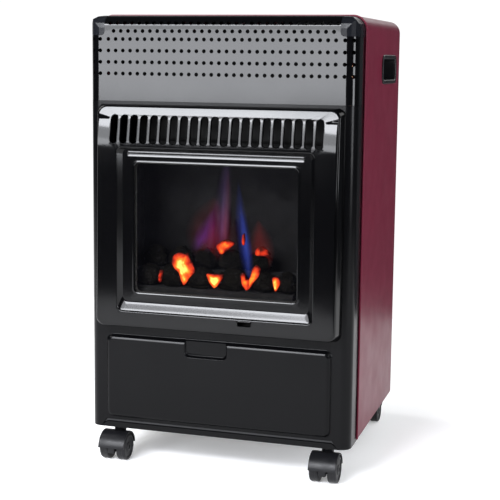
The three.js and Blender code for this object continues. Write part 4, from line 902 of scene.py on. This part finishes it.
def recess_rings(sheet):
    for out, drop in MOUTH_LIP:
        sheet.ring(grown(MOUTH, out * MM, 8), lambda x, z, d=drop: face_height(x, z) - d * MM)
    x0, x1, z0, z1, radius = MOUTH
    for share, rise in RECESS_STEPS:
        inset = RECESS_DRAFT * share
        sill, top = z0 + SILL_RISE * rise, z1 - RECESS_TOP_DRAFT * share
        points = rounded(x0 + inset, x1 - inset, sill, top, radius, 8)
        start = MOUTH_LIP[-1][1] * MM
        sheet.ring(
            points,
            lambda x, z, s=share: (face_height(x, z) - start) * (1 - s) + RECESS_FLOOR * s,
        )


def make_surround():
    points, heights = wall_ring(0.0, 0.0)
    sheet = Sheet(points, face_height)
    for inset, share in WALL_PROFILE:
        points, heights = wall_ring(inset * MM, share)
        sheet.line(points, heights, closed=True)
    edge = SURROUND_HIGH.x - WALL_PROFILE[-1][0] * MM
    for z in [STRIP_START + i * (STRIP_STRAIGHT - STRIP_START) / 8 for i in range(9)]:
        inner = MOUTH[1] + 4 * MM if z < MOUTH[3] + 3 * MM else SLOT_COUNT * SLOT_PITCH / 2
        for side in (-1, 1):
            sheet.line([(side * (edge - 1 * MM), z), (side * inner, z)])
    recess_rings(sheet)
    middle = (BEAD[2] + BEAD[3]) / 2
    for (inset, upper), (_, lower) in zip(BEAD_UPPER, BEAD_LOWER):
        sheet.ring(
            grown(BEAD, -inset * MM),
            lambda x, z, u=upper, w=lower: RECESS_FLOOR + (u if z > middle else w) * MM,
        )
    for out, rise in WINDOW_RIM[:-1]:
        sheet.ring(grown(WINDOW, out * MM, 8), RECESS_FLOOR + rise * MM)
    sheet.hole(grown(WINDOW, 0, 8), RECESS_FLOOR + WINDOW_RIM[-1][1] * MM)
    for i in range(SLOT_COUNT):
        x = (i - (SLOT_COUNT - 1) / 2) * SLOT_PITCH
        slot = (x - SLOT_HALF, x + SLOT_HALF, SLOT_LOW, SLOT_HIGH, SLOT_HALF)
        for out, rise in SLOT_LIP:
            sheet.ring(grown(slot, out * MM, 5), lambda a, b, r=rise: face_height(a, b) + r * MM)
        sheet.hole(grown(slot, 0, 5), lambda a, b: face_height(a, b) - SLOT_EDGE)
    for out, rise in LATCH_LIP:
        sheet.ring(grown(LATCH, out * MM, 3), SURROUND_PROUD + rise * MM)
    sheet.hole(grown(LATCH, 0, 3), SURROUND_PROUD - LATCH_EDGE)
    skin = sheet.build(front_face_place)
    add_piece("surround_skin", skin, BLACK, replaces=["fire_surround"])


# ---- handles and controls
HANDLE_RIM = [(5.0, 0.0), (4.9, 1.0), (4.2, 1.7), (3.0, 1.8), (1.2, 1.8), (0.2, 1.6), (-0.8, 0.8)]
HANDLE_RIM += [(-1.6, -1.0), (-2.4, -20.0), (-3.4, -23.0), (-6.0, -24.2)]
HANDLE_FLOOR = -24.3 * MM
HANDLE_SEAT = 0.3 * MM
HANDLE_SKIN = 0.9 * MM


def cupped(rect, rings):
    """A sheet pressed into a cup whose rim has the given rings."""
    sheet = Sheet(grown(rect, rings[0][0] * MM, 6))
    for out, rise in rings:
        sheet.ring(grown(rect, out * MM, 6), rise * MM)
    sheet.height = lambda a, b: rings[-1][1] * MM
    return sheet


def make_handle(name, side):
    rect = centred(HANDLE_Y, HANDLE_Z, HANDLE_LENGTH, HANDLE_OPENING, HANDLE_CORNER)
    sheet = cupped(rect, HANDLE_RIM)

    def place(y, z, lift):
        return Vector((side * (HALF_WIDTH + HANDLE_SEAT + max(lift, HANDLE_FLOOR)), y, z))

    shell = sheet.build(place, HANDLE_SKIN)
    add_piece(f"{name}_shell", shell, BLACK_PLASTIC, replaces=[name])


WELL_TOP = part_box("control_well")[1].z
WELL_RIM = [(5.0, 0.0), (0.0, 0.0), (-0.6, -0.3), (-1.2, -1.2), (-2.4, -21.8), (-3.2, -24.2)]
WELL_RIM += [(-5.0, -25.2)]
WELL_SKIN = 1.5 * MM
WELL_FLOOR = WELL_RIM[-1][1]
SPINDLE_HOLE = 6 * MM
BUTTON_COLLAR = [(2.6, 0.0), (2.0, 0.9), (1.0, 0.9)]
BUTTON_GAP = 0.5 * MM
KNOB_COLLAR = [(7.0, 0.0), (6.4, 0.3), (5.6, 0.3)]
KNOB_CENTRE = foot("control_knob")
KNOB_RADIUS = (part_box("control_knob")[1].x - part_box("control_knob")[0].x) / 2
BUTTON_CENTRE = foot("igniter_button")
BUTTON_LOW, BUTTON_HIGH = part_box("igniter_button")
BUTTON_RADIUS = (BUTTON_HIGH.x - BUTTON_LOW.x) / 2
BUTTON_HEIGHT = BUTTON_HIGH.z - BUTTON_LOW.z


def make_control_well():
    sheet = cupped(WELL, WELL_RIM)
    sheet.hole(circle(*KNOB_CENTRE[:2], SPINDLE_HOLE, 24))
    for out, rise in BUTTON_COLLAR:
        ring = circle(*BUTTON_CENTRE[:2], BUTTON_RADIUS + out * MM, 32)
        sheet.ring(ring, (WELL_FLOOR + rise) * MM)
    sheet.hole(circle(*BUTTON_CENTRE[:2], BUTTON_RADIUS + BUTTON_GAP, 32))
    for out, rise in KNOB_COLLAR:
        sheet.ring(circle(*KNOB_CENTRE[:2], KNOB_RADIUS + out * MM, 48), (WELL_FLOOR + rise) * MM)
    skin = sheet.build(lambda x, y, lift: Vector((x, y, WELL_TOP + lift)), WELL_SKIN)
    add_piece("well_shell", skin, BLACK_PLASTIC, replaces=["control_well"])


KNOB_GRIPS = 10
KNOB_PROFILE = [(0.0, 0.6), (20.5, 0.6), (21.5, 0.0), (22.0, 0.6), (22.0, 3.2), (21.4, 4.2)]
KNOB_PROFILE += [(19.4, 5.4), (18.7, 6.4), (18.1, 14.4), (17.6, 15.8), (16.6, 16.7)]
KNOB_PROFILE += [(15.4, 17.0), (13.4, 16.8), (12.2, 16.2), (0.0, 16.0)]
GRIP_BASE = 5.6 * MM
GRIP_INNER = 15 * MM
GRIP_DEPTH = 1.5 * MM
MARKER = (-0.9 * MM, 0.9 * MM, -19.5 * MM, -10 * MM, 0.9 * MM)
MARKER_FOOT = 16.05 * MM
MARKER_HEIGHT = 1.25 * MM


def knob_wave(angle, radius, along):
    """Finger grips round the knob's skirt, above its flange."""
    if along < GRIP_BASE or radius < GRIP_INNER:
        return radius
    return radius - GRIP_DEPTH * max(0.0, math.cos(KNOB_GRIPS * angle)) ** 3


def make_knob():
    bm = revolved(in_metres(KNOB_PROFILE), "z", KNOB_CENTRE, steps=120, wave=knob_wave)
    replaced = ["control_knob"]
    add_piece("knob_cap", bm, BLACK_PLASTIC, "control_knob", replaced, 40)
    marker = bmesh.new()
    centre = Vector(KNOB_CENTRE)
    rows = [
        [marker.verts.new(centre + Vector((a, b, z))) for a, b in grown(MARKER, 0, 5)]
        for z in (MARKER_FOOT, MARKER_FOOT + MARKER_HEIGHT)
    ]
    join(marker, *rows)
    for row in rows:
        marker.faces.new(row)
    add_piece("knob_marker", marker, PORCELAIN, "control_knob", weighted=False)


# The button's edge: how far beyond its radius and its height, in millimetres.
BUTTON_EDGE = [(0.0, -2.4), (-0.3, -1.4), (-0.9, -0.5), (-1.9, 0.0), (-3.0, -0.2), (-5.0, -0.8)]
BUTTON_DISH = 1.1 * MM


def make_button():
    profile = [(0, 0), (BUTTON_RADIUS, 0)]
    profile += [(BUTTON_RADIUS + a * MM, BUTTON_HEIGHT + b * MM) for a, b in BUTTON_EDGE]
    profile += [(0, BUTTON_HEIGHT - BUTTON_DISH)]
    bm = revolved(profile, "z", BUTTON_CENTRE, steps=48)
    replaced = ["igniter_button"]
    add_piece("button_cap", bm, GREY_PLASTIC, "igniter_button", replaced, 45)


# ---- casters
HOOD_OUTER = 25.4 * MM
HOOD_INNER = 22.6 * MM
HOOD_HALF = 21.6 * MM
# Where the visor and the web start round the axle, and how far they reach.
VISOR_SWEEP = (math.radians(6), math.radians(168))
WEB_SWEEP = (math.radians(-14), math.radians(208))
# Half profiles in millimetres: radius, and distance from the caster's middle.
WEB_HALF = [(0.0, -5.8), (22.4, -5.8), (23.6, -5.2), (24.2, -4.0)]
PIN_HALF = [(0.0, -20.5), (2.6, -20.5), (3.0, -20.0)]
WHEEL_RADIUS = 20.6
WHEEL_BORE = 4
WHEEL_PROFILE = [(3.5, 0.0), (18.4, 0.0), (19.9, 0.5), (20.6, 1.6), (20.6, 4.6), (20.2, 5.0)]
WHEEL_PROFILE += [(20.2, 9.6), (20.6, 10.0), (20.6, 12.2), (20.0, 13.7), (18.6, 14.6), (16.8, 14.7)]
WHEEL_PROFILE += [(16.2, 13.9), (15.4, 13.2), (8.2, 13.2), (7.6, 14.0), (6.6, 14.6), (3.5, 14.8)]
POSITIONS = ("front_left", "front_right", "rear_left", "rear_right")


def wheel_centre(position):
    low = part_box(f"caster_wheel_{position}_left")[0]
    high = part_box(f"caster_wheel_{position}_right")[1]
    return (low + high) / 2


def make_wheel(position, side_name, side):
    node = f"caster_wheel_{position}_{side_name}"
    low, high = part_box(node)
    radius = (high.z - low.z) / 2
    inner = low.x if side > 0 else high.x
    centre = (inner, (low.y + high.y) / 2, (low.z + high.z) / 2)
    share = radius / WHEEL_RADIUS
    profile = [(r * (MM if r < WHEEL_BORE else share), side * a * MM) for r, a in WHEEL_PROFILE]
    bm = revolved(profile, "x", centre, steps=56)
    add_piece(f"wheel_{position}_{side_name}", bm, TREAD, node, [node], 30)


def make_hood(position):
    """A caster's hood with its visor, web and axle pin, and the collar and stem it turns on."""
    node = f"caster_hood_{position}"
    axle = wheel_centre(position)
    edge = [(-0.9 * MM, 0), (-0.2 * MM, 0.5 * MM), (0, 1.4 * MM)]
    visor_half = [(HOOD_INNER, -HOOD_HALF)]
    visor_half += [(HOOD_OUTER + out, along - HOOD_HALF) for out, along in edge]
    visor = revolved(mirrored(visor_half), "x", axle, 40, *VISOR_SWEEP)
    web = revolved(mirrored(in_metres(WEB_HALF)), "x", axle, 40, *WEB_SWEEP)
    pin = revolved(mirrored(in_metres(PIN_HALF)), "x", axle, 24)
    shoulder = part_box(f"caster_socket_{position}")[0].z - 1 * MM - axle.z
    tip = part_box(node)[1].z - axle.z
    collar_profile = [
        (0.0, HOOD_INNER - 12 * MM),
        (8.4 * MM, HOOD_INNER - 12 * MM),
        (9.4 * MM, HOOD_INNER + 1 * MM),
        (9.2 * MM, shoulder - 1.6 * MM),
        (8.2 * MM, shoulder),
        (5.0 * MM, shoulder),
        (5.0 * MM, tip - 1 * MM),
        (4.2 * MM, tip),
        (0.0, tip),
    ]
    stem_y = foot(f"caster_socket_{position}")[1]
    collar = revolved(collar_profile, "z", (axle.x, stem_y, axle.z), steps=32)
    bm = merged(visor, web, collar, pin)
    body = f"caster_{position}"
    add_piece(f"hood_{position}", bm, BLACK_PLASTIC, body, [node], 30)


# ---- rear cover
COVER_LOW, COVER_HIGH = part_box("rear_cover")
COVER_SHEET = 1.4 * MM
COVER_FACE = COVER_LOW.y + COVER_SHEET
BULGE_HALF = 178 * MM
BULGE_DRAFT = 10 * MM
BULGE_TOP = 612 * MM
BULGE_SLOPE = 22 * MM
BULGE_CORNER = 14 * MM
COVER_CORNER = 16 * MM
BULGE_PROFILE = [(0.0, 0.0), (0.03, 0.03), (0.1, 0.11), (0.88, 0.9), (0.96, 0.975), (1.1, 1.0)]
LOUVRE_COLUMNS = (-52 * MM, 52 * MM)
LOUVRE_HALF = 44 * MM
LOUVRE_PITCH = 14 * MM
LOUVRE_HEIGHT = 5 * MM
LOUVRE_COUNT = 6
LOUVRE_BASES = (110 * MM, 470 * MM)
LOUVRE_HOOD = 7.4 * MM
LOUVRE_GAP = 0.4 * MM
HOOD_RISE = [(0.0, 0.0), (0.8, 1.2), (1.8, 2.4), (2.8, 2.9)]
PULL_LENGTH = 90 * MM
PULL_HEIGHT = 22 * MM
PULL_LIP = [(3.5, 0.0), (2.6, 0.8), (1.6, 1.1), (0.7, 0.7), (0.0, -0.4)]
SCREW_REACH = HALF_WIDTH - 14 * MM
SCREW_HEIGHTS = (110 * MM, 360 * MM, 640 * MM)


def make_rear_cover():
    low = COVER_LOW.z
    half = COVER_HIGH.x
    depth = COVER_HIGH.y - COVER_FACE
    outline = u_line(half, low, COVER_HIGH.z, COVER_CORNER)[::-1]
    sheet = Sheet(outline)
    for draft, rise in BULGE_PROFILE:
        reach, top = BULGE_HALF - BULGE_DRAFT * draft, BULGE_TOP - BULGE_SLOPE * draft
        line = u_line(reach, low, top, BULGE_CORNER)
        sheet.line(line, [depth * rise] * len(line))
    for base in LOUVRE_BASES:
        for x in LOUVRE_COLUMNS:
            for i in range(LOUVRE_COUNT):
                add_louvre(sheet, x, base + i * LOUVRE_PITCH, depth)
    middle = (BULGE_TOP + COVER_HIGH.z) / 2
    pull = centred(0, middle, PULL_LENGTH, PULL_HEIGHT, PULL_HEIGHT / 3)
    for out, rise in PULL_LIP[:-1]:
        sheet.ring(grown(pull, out * MM, 6), rise * MM)
    sheet.hole(grown(pull, 0, 6), PULL_LIP[-1][1] * MM)

    def place(x, z, lift):
        return Vector((x, COVER_FACE + lift, z))

    skin = sheet.build(place, COVER_SHEET)
    add_piece("cover_skin", skin, POWDER, "rear_cover", ["rear_cover"])
    places = [(side * SCREW_REACH, z) for side in (-1, 1) for z in SCREW_HEIGHTS]
    for i, (x, z) in enumerate(places):
        make_screw(f"cover_screw_{i + 1}", x, COVER_FACE, z)


def add_louvre(sheet, x, z, depth):
    """A slot with a hood pressed out over it."""
    slot = (x - LOUVRE_HALF, x + LOUVRE_HALF, z, z + LOUVRE_HEIGHT, 1.5 * MM)
    sheet.hole(grown(slot, 0, 3), depth)
    base = z + LOUVRE_HEIGHT + LOUVRE_GAP
    for inset, rise in HOOD_RISE:
        i = inset * MM
        half, top = LOUVRE_HALF - i, base + LOUVRE_HOOD - i
        ring = rounded(x - half, x + half, base + 0.15 * i, top, 2 * MM, 3)
        sheet.ring(ring, depth + rise * MM)


SCREW_RINGS = [(4.2, 0.0), (4.1, 0.7), (3.6, 1.5), (2.4, 2.1), (1.0, 2.3)]
SCREW_STEPS = 24
CROSS_REACH = 3
CROSS_HALF = 0.26
CROSS_DEPTH = 1.1


def make_screw(name, x, y, z):
    """A cross-head screw: a low dome with a cross pressed in."""
    bm = bmesh.new()
    rows = []
    for radius, rise in SCREW_RINGS:
        row = []
        for i in range(SCREW_STEPS):
            across, up = math.cos(TAU * i / SCREW_STEPS), math.sin(TAU * i / SCREW_STEPS)
            cross = min(abs(across), abs(up)) < CROSS_HALF and radius < CROSS_REACH
            out = (rise - CROSS_DEPTH * cross) * MM
            row.append(bm.verts.new((x + radius * MM * across, y + out, z + radius * MM * up)))
        rows.append(row)
    for one, two in zip(rows, rows[1:]):
        join(bm, one, two)
    bm.faces.new(rows[-1])
    bm.faces.new(rows[0][::-1])
    add_piece(name, bm, STEEL, "rear_cover", sharp_angle=40, weighted=False)


# ---- fire
COALS = sorted(name for name in NODES if name.startswith("coal_") and name != "coal_tray")
COAL_SUBDIVISIONS = 5
COAL_FACETS = (1.7, 0.08)
COAL_LUMPS = (1.6, 0.14)
COAL_CHIPS = (4.5, 0.06)
COAL_FOOT = 1.14
COAL_TAPER = 0.16


def make_coal(name, seed):
    """A lump of imitation coal: broad at its foot, with broken faces and cracks."""
    low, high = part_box(name)
    centre, size = (low + high) / 2, (high - low) / 2
    bm = bmesh.new()
    bmesh.ops.create_icosphere(bm, subdivisions=COAL_SUBDIVISIONS, radius=1.0)
    offset = Vector((seed * 3.7, seed * 1.3, -seed * 2.1))
    for vertex in bm.verts:
        p = vertex.co.normalized()
        scale = 1.0 + noise.cell(p * COAL_FACETS[0] + offset) * COAL_FACETS[1]
        scale += noise.noise(p * COAL_LUMPS[0] + offset) * COAL_LUMPS[1]
        scale += noise.fractal(p * COAL_CHIPS[0] + offset, 1.0, 2.0, 4) * COAL_CHIPS[1]
        breadth = COAL_FOOT - COAL_TAPER * p.z
        spot = Vector((p.x * size.x * breadth, p.y * size.y * 1.1, p.z * size.z * 1.06))
        spot = spot * scale + centre
        spot.z = max(spot.z, low.z)
        vertex.co = spot
    lump = f"{name}_lump"
    add_piece(lump, bm, COAL, "root", [name], sharp_angle=60, weighted=False)


# Embers lodged between the coals, as outlines in millimetres across and up, and their heat.
EMBERS = {
    "far_left": (0.42, [(-99, 294), (-96.5, 288), (-92.5, 298), (-92, 307), (-97, 309)]),
    "left": (
        1.0,
        [(-57, 286), (-48, 300), (-39, 309), (-44, 320), (-49, 330), (-52, 338), (-56, 334)]
        + [(-65, 338), (-74, 333), (-77, 321), (-72, 312), (-65, 307), (-62, 296)],
    ),
    "heart": (1.1, [(-7.5, 284.5), (4.5, 300), (7, 308), (-8, 306.5), (-21.5, 308), (-16, 294)]),
    "upper": (0.66, [(-7.5, 332), (5, 343), (15, 351), (3, 358), (-8, 354), (-16, 346)]),
    "right_left": (
        0.6,
        [(43, 285), (49, 291), (48, 303), (43, 302), (38, 312), (33, 311), (36, 294)],
    ),
    "right_right": (
        0.82,
        [(46, 286), (54, 298), (62, 308), (64, 319), (58, 326), (52, 320), (49.5, 308), (46, 300)],
    ),
    "far_right": (0.95, [(89, 285.5), (96, 300), (91.5, 309.5), (83, 308), (85, 296)]),
    "thin": (0.45, [(26, 352), (29.5, 349), (31.5, 358), (30, 369), (27, 366)]),
    "dim_right": (0.4, [(47, 343), (48, 335), (59, 334), (72, 336.5), (67, 343), (57, 350)]),
}
EMBER_DEPTH = 9 * MM
EMBER_UPPER = 328 * MM
EMBER_SETBACK = 30 * MM
EMBER_PUFF = 5 * MM
EMBER_RINGS = 7
EMBER_BACKING = 6 * MM
EMBER_LUMPS = 1.2 * MM


def make_ember(name, heat, outline):
    """A low glowing lump with the given outline, hottest in its middle."""
    points = [Vector((x * MM, z * MM)) for x, z in outline]
    corners = []
    for i, point in enumerate(points):
        before, after = points[i - 1], points[(i + 1) % len(points)]
        blunted = point.lerp(point.lerp((before + after) / 2, 0.25), 0.6)
        corners += [point.lerp(before, 0.22), blunted]
        corners += [point.lerp(after, 0.22), point.lerp(after, 0.5)]
    middle = sum(corners, Vector((0, 0))) / len(corners)
    lowest, highest = min(c.y for c in corners), max(c.y for c in corners)
    depth = FRONT + EMBER_DEPTH + (EMBER_SETBACK if middle.y > EMBER_UPPER else 0)
    bm = bmesh.new()
    layer = bm.verts.layers.float.new("ember_heat")
    rings = []
    for k in range(EMBER_RINGS + 1):
        share = k / EMBER_RINGS
        ring = []
        for corner in corners:
            spot = corner.lerp(middle, share * 0.96)
            bulge = EMBER_PUFF * (1 - (1 - share) ** 2)
            bulge += noise.noise(Vector((spot.x, spot.y, heat)) * 90) * EMBER_LUMPS * share
            vertex = bm.verts.new((spot.x, depth - bulge, spot.y))
            height = (corner.y - lowest) / (highest - lowest)
            vertex[layer] = heat * min(1.0, 0.5 - 0.3 * height + 1.1 * share)
            ring.append(vertex)
        rings.append(ring)
    back = [bm.verts.new((v.co.x, depth + EMBER_BACKING, v.co.z)) for v in rings[0]]
    rows = [back] + rings
    for one, two in zip(rows, rows[1:]):
        join(bm, one, two)
    bm.faces.new(back)
    bm.faces.new(rings[-1])
    add_piece(f"ember_{name}", bm, EMBER, sharp_angle=180, weighted=False)


FLAMES = [
    # name, foot x, foot z, tip x, tip z, half width, depth, colour, strength
    ("blue_left", -50, 336, -16, 408, 16, 40, (0.22, 0.05, 0.62), 0.32),
    ("violet_left", -30, 334, -14, 424, 15, 43, (0.55, 0.08, 0.42), 0.24),
    ("tall_middle", -10, 330, 1, 506, 15, 41, (0.34, 0.2, 0.6), 0.25),
    ("pink_heart", -2, 336, 1, 474, 9, 39, (0.85, 0.2, 0.3), 0.2),
    ("red_haze", -24, 322, -22, 425, 46, 47, (0.9, 0.03, 0.03), 0.19),
    ("red_right", 56, 312, 50, 392, 22, 47, (0.9, 0.04, 0.02), 0.28),
    ("blue_right", 40, 290, 16, 456, 12, 38, (0.07, 0.12, 0.9), 0.42),
    ("blue_core", 38, 300, 24, 420, 7, 37, (0.10, 0.18, 0.95), 0.36),
]
FLAME_ROWS = 26
FLAME_COLUMNS = 12
# In millimetres: how far a flame sways, bellies out and leans back.
FLAME_SWAY = 2.0
FLAME_BELLY = 3.0
FLAME_LEAN = 4


def make_flame(name, foot_x, foot_z, tip_x, tip_z, width, depth, colour, strength):
    """A tongue of flame: a thin curved leaf that narrows to its tip and sways a little."""
    bm = bmesh.new()
    density = bm.verts.layers.float.new("gas_density")
    grid = []
    for i in range(FLAME_ROWS + 1):
        v = i / FLAME_ROWS
        belly = math.sin(math.pi * min(v * 0.88 + 0.16, 1.0)) ** 0.8 if i < FLAME_ROWS else 0.0
        sway = FLAME_SWAY * math.sin(v * 5 + foot_x) * v
        row = []
        for k in range(FLAME_COLUMNS + 1):
            u = 2 * k / FLAME_COLUMNS - 1
            x = foot_x + (tip_x - foot_x) * v + sway + u * width * belly
            y = depth + FLAME_BELLY * (1 - u * u) * belly + FLAME_LEAN * v
            z = foot_z + (tip_z - foot_z) * v
            vertex = bm.verts.new((x * MM, FRONT + y * MM, z * MM))
            vertex[density] = max(1 - abs(u), 0) ** 1.3 * min(v * 4, 1) * (1 - v) ** 0.8
            row.append(vertex)
        grid.append(row)
    for one, two in zip(grid, grid[1:]):
        join(bm, one, two, closed=False)
    bmesh.ops.remove_doubles(bm, verts=bm.verts, dist=1e-6)
    look = flame_gas(f"flame_{name}", colour, strength)
    add_piece(f"flame_{name}", bm, look, sharp_angle=180, weighted=False)


# ---- set and light
CAMERA_PLACE = (0.5577, -1.8910, 0.6321)
CAMERA_TURN = math.radians(16.69)
CAMERA_TILT = math.radians(7.62)
CAMERA_ROLL = math.radians(0.63)
CAMERA_LENS = 86.6
SENSOR = 36.0
CAMERA_SHIFT = -0.06


def make_camera():
    data = bpy.data.cameras.new("camera")
    data.lens = CAMERA_LENS
    data.sensor_width = SENSOR
    data.shift_y = CAMERA_SHIFT
    data.clip_start, data.clip_end = 0.05, 100
    camera = put("camera", data)
    camera.location = CAMERA_PLACE
    camera.rotation_euler = (QUARTER - CAMERA_TILT, -CAMERA_ROLL, CAMERA_TURN)
    bpy.context.scene.camera = camera


# The floor ends just in front of the object, so that the black front mirrors the dim studio.
FLOOR = (-4.0, 2.5, -1.45, 1.0)


def make_floor():
    bm = bmesh.new()
    x0, x1, y0, y1 = FLOOR
    bm.faces.new([bm.verts.new((x, y, 0)) for x, y in ((x0, y0), (x1, y0), (x1, y1), (x0, y1))])
    mesh = mesh_from("floor", bm)
    look = Look("floor", (0.9, 0.9, 0.9), 0.7, Specular_IOR_Level=0.2, Emission_Strength=0.25)
    look.shader.inputs["Emission Color"].default_value = (1, 1, 1, 1)
    look.shades(1.5, 0.01)
    look.gloss(3, 4, 0.65, 0.75)
    mesh.materials.append(look.material)
    floor = put("floor", mesh)


def softbox(name, place, target, width, height, radiance, colour):
    """A rectangular light at place, turned towards target."""
    data = bpy.data.lights.new(name, "AREA")
    data.shape = "RECTANGLE"
    data.size, data.size_y = width, height
    data.energy = radiance * math.pi * width * height
    data.color = colour
    light = put(name, data)
    light.location = place
    aim = Vector(target) - Vector(place)
    light.rotation_euler = aim.to_track_quat("-Z", "Y").to_euler()


# The world is white where all of these rise from 0 to 1: axis, start, end.
WORLD_FADES = (("Y", 0.35, 0.65), ("X", 0.1, -0.06), ("Z", 0.5, 0.25))
WORLD_DIM = (0.06, 0.063, 0.07)
WORLD_WHITE = (1.05, 1.05, 1.05)


def make_world():
    """A studio that is white behind the object and dim in front of it and over it."""
    world = bpy.data.worlds.new("studio")
    world.use_nodes = True
    nodes = Nodes(world.node_tree)
    axes = nodes.node("ShaderNodeSeparateXYZ")
    nodes.link(nodes.node("ShaderNodeTexCoord").outputs["Generated"], axes.inputs["Vector"])
    white = None
    for axis, start, end in WORLD_FADES:
        fade = nodes.between(
            axes.outputs[axis], 0, 1, start, end, interpolation_type="SMOOTHSTEP"
        )
        white = fade if white is None else nodes.number("MULTIPLY", white, fade)
    colour = nodes.mix(white, WORLD_DIM, WORLD_WHITE)
    nodes.link(colour, nodes.tree.nodes["Background"].inputs["Color"])
    bpy.context.scene.world = world


COOL = (0.93, 0.95, 1.0)
WHITE = (1, 1, 1)
# The space over the object's left half holds no light: the black front's top bend mirrors it.
LIGHTS = [
    # name, place, target, width, height, radiance, colour
    ("front_box", (-0.62, -1.9, 1.44), (-0.3, 0, 1.44), 1.15, 0.5, 44.0, COOL),
    ("front_middle", (-0.62, -1.9, 0.965), (-0.3, 0, 0.965), 1.15, 0.44, 12.0, COOL),
    ("front_foot", (-0.62, -1.9, 0.61), (-0.3, 0, 0.61), 1.15, 0.26, 18.0, COOL),
    ("right_strip", (2.08, -0.87, 0.95), (0.2, -0.1, 0.95), 0.62, 1.3, 15.0, COOL),
    ("right_top", (1.9, 0.5, 2.1), (0, 0, 0.3), 1.3, 1.3, 3.0, WHITE),
    ("left_top", (-2.2, 0.2, 2.2), (0, 0, 0.3), 1.5, 1.5, 8.0, WHITE),
    ("rear_top", (1.0, 2.4, 2.2), (0, 0.2, 0.2), 1.4, 1.4, 4.0, WHITE),
]


def make_light():
    make_world()
    for light in LIGHTS:
        softbox(*light)
    bpy.context.scene.view_settings.view_transform = "Standard"
    bpy.context.scene.view_settings.look = "None"


# ---- making
make_camera()
make_floor()
make_light()
dress_plain_parts()
make_wrap()
make_grille()
make_front_frame()
make_surround()
make_handle("handle_left", -1)
make_handle("handle_right", 1)
make_control_well()
make_knob()
make_button()
for place_name in POSITIONS:
    make_hood(place_name)
    make_wheel(place_name, "left", -1)
    make_wheel(place_name, "right", 1)
make_rear_cover()
for number, coal_name in enumerate(COALS, 1):
    make_coal(coal_name, number)
for ember_name, (ember_heat, ember_outline) in EMBERS.items():
    make_ember(ember_name, ember_heat, ember_outline)
for flame in FLAMES:
    make_flame(*flame)
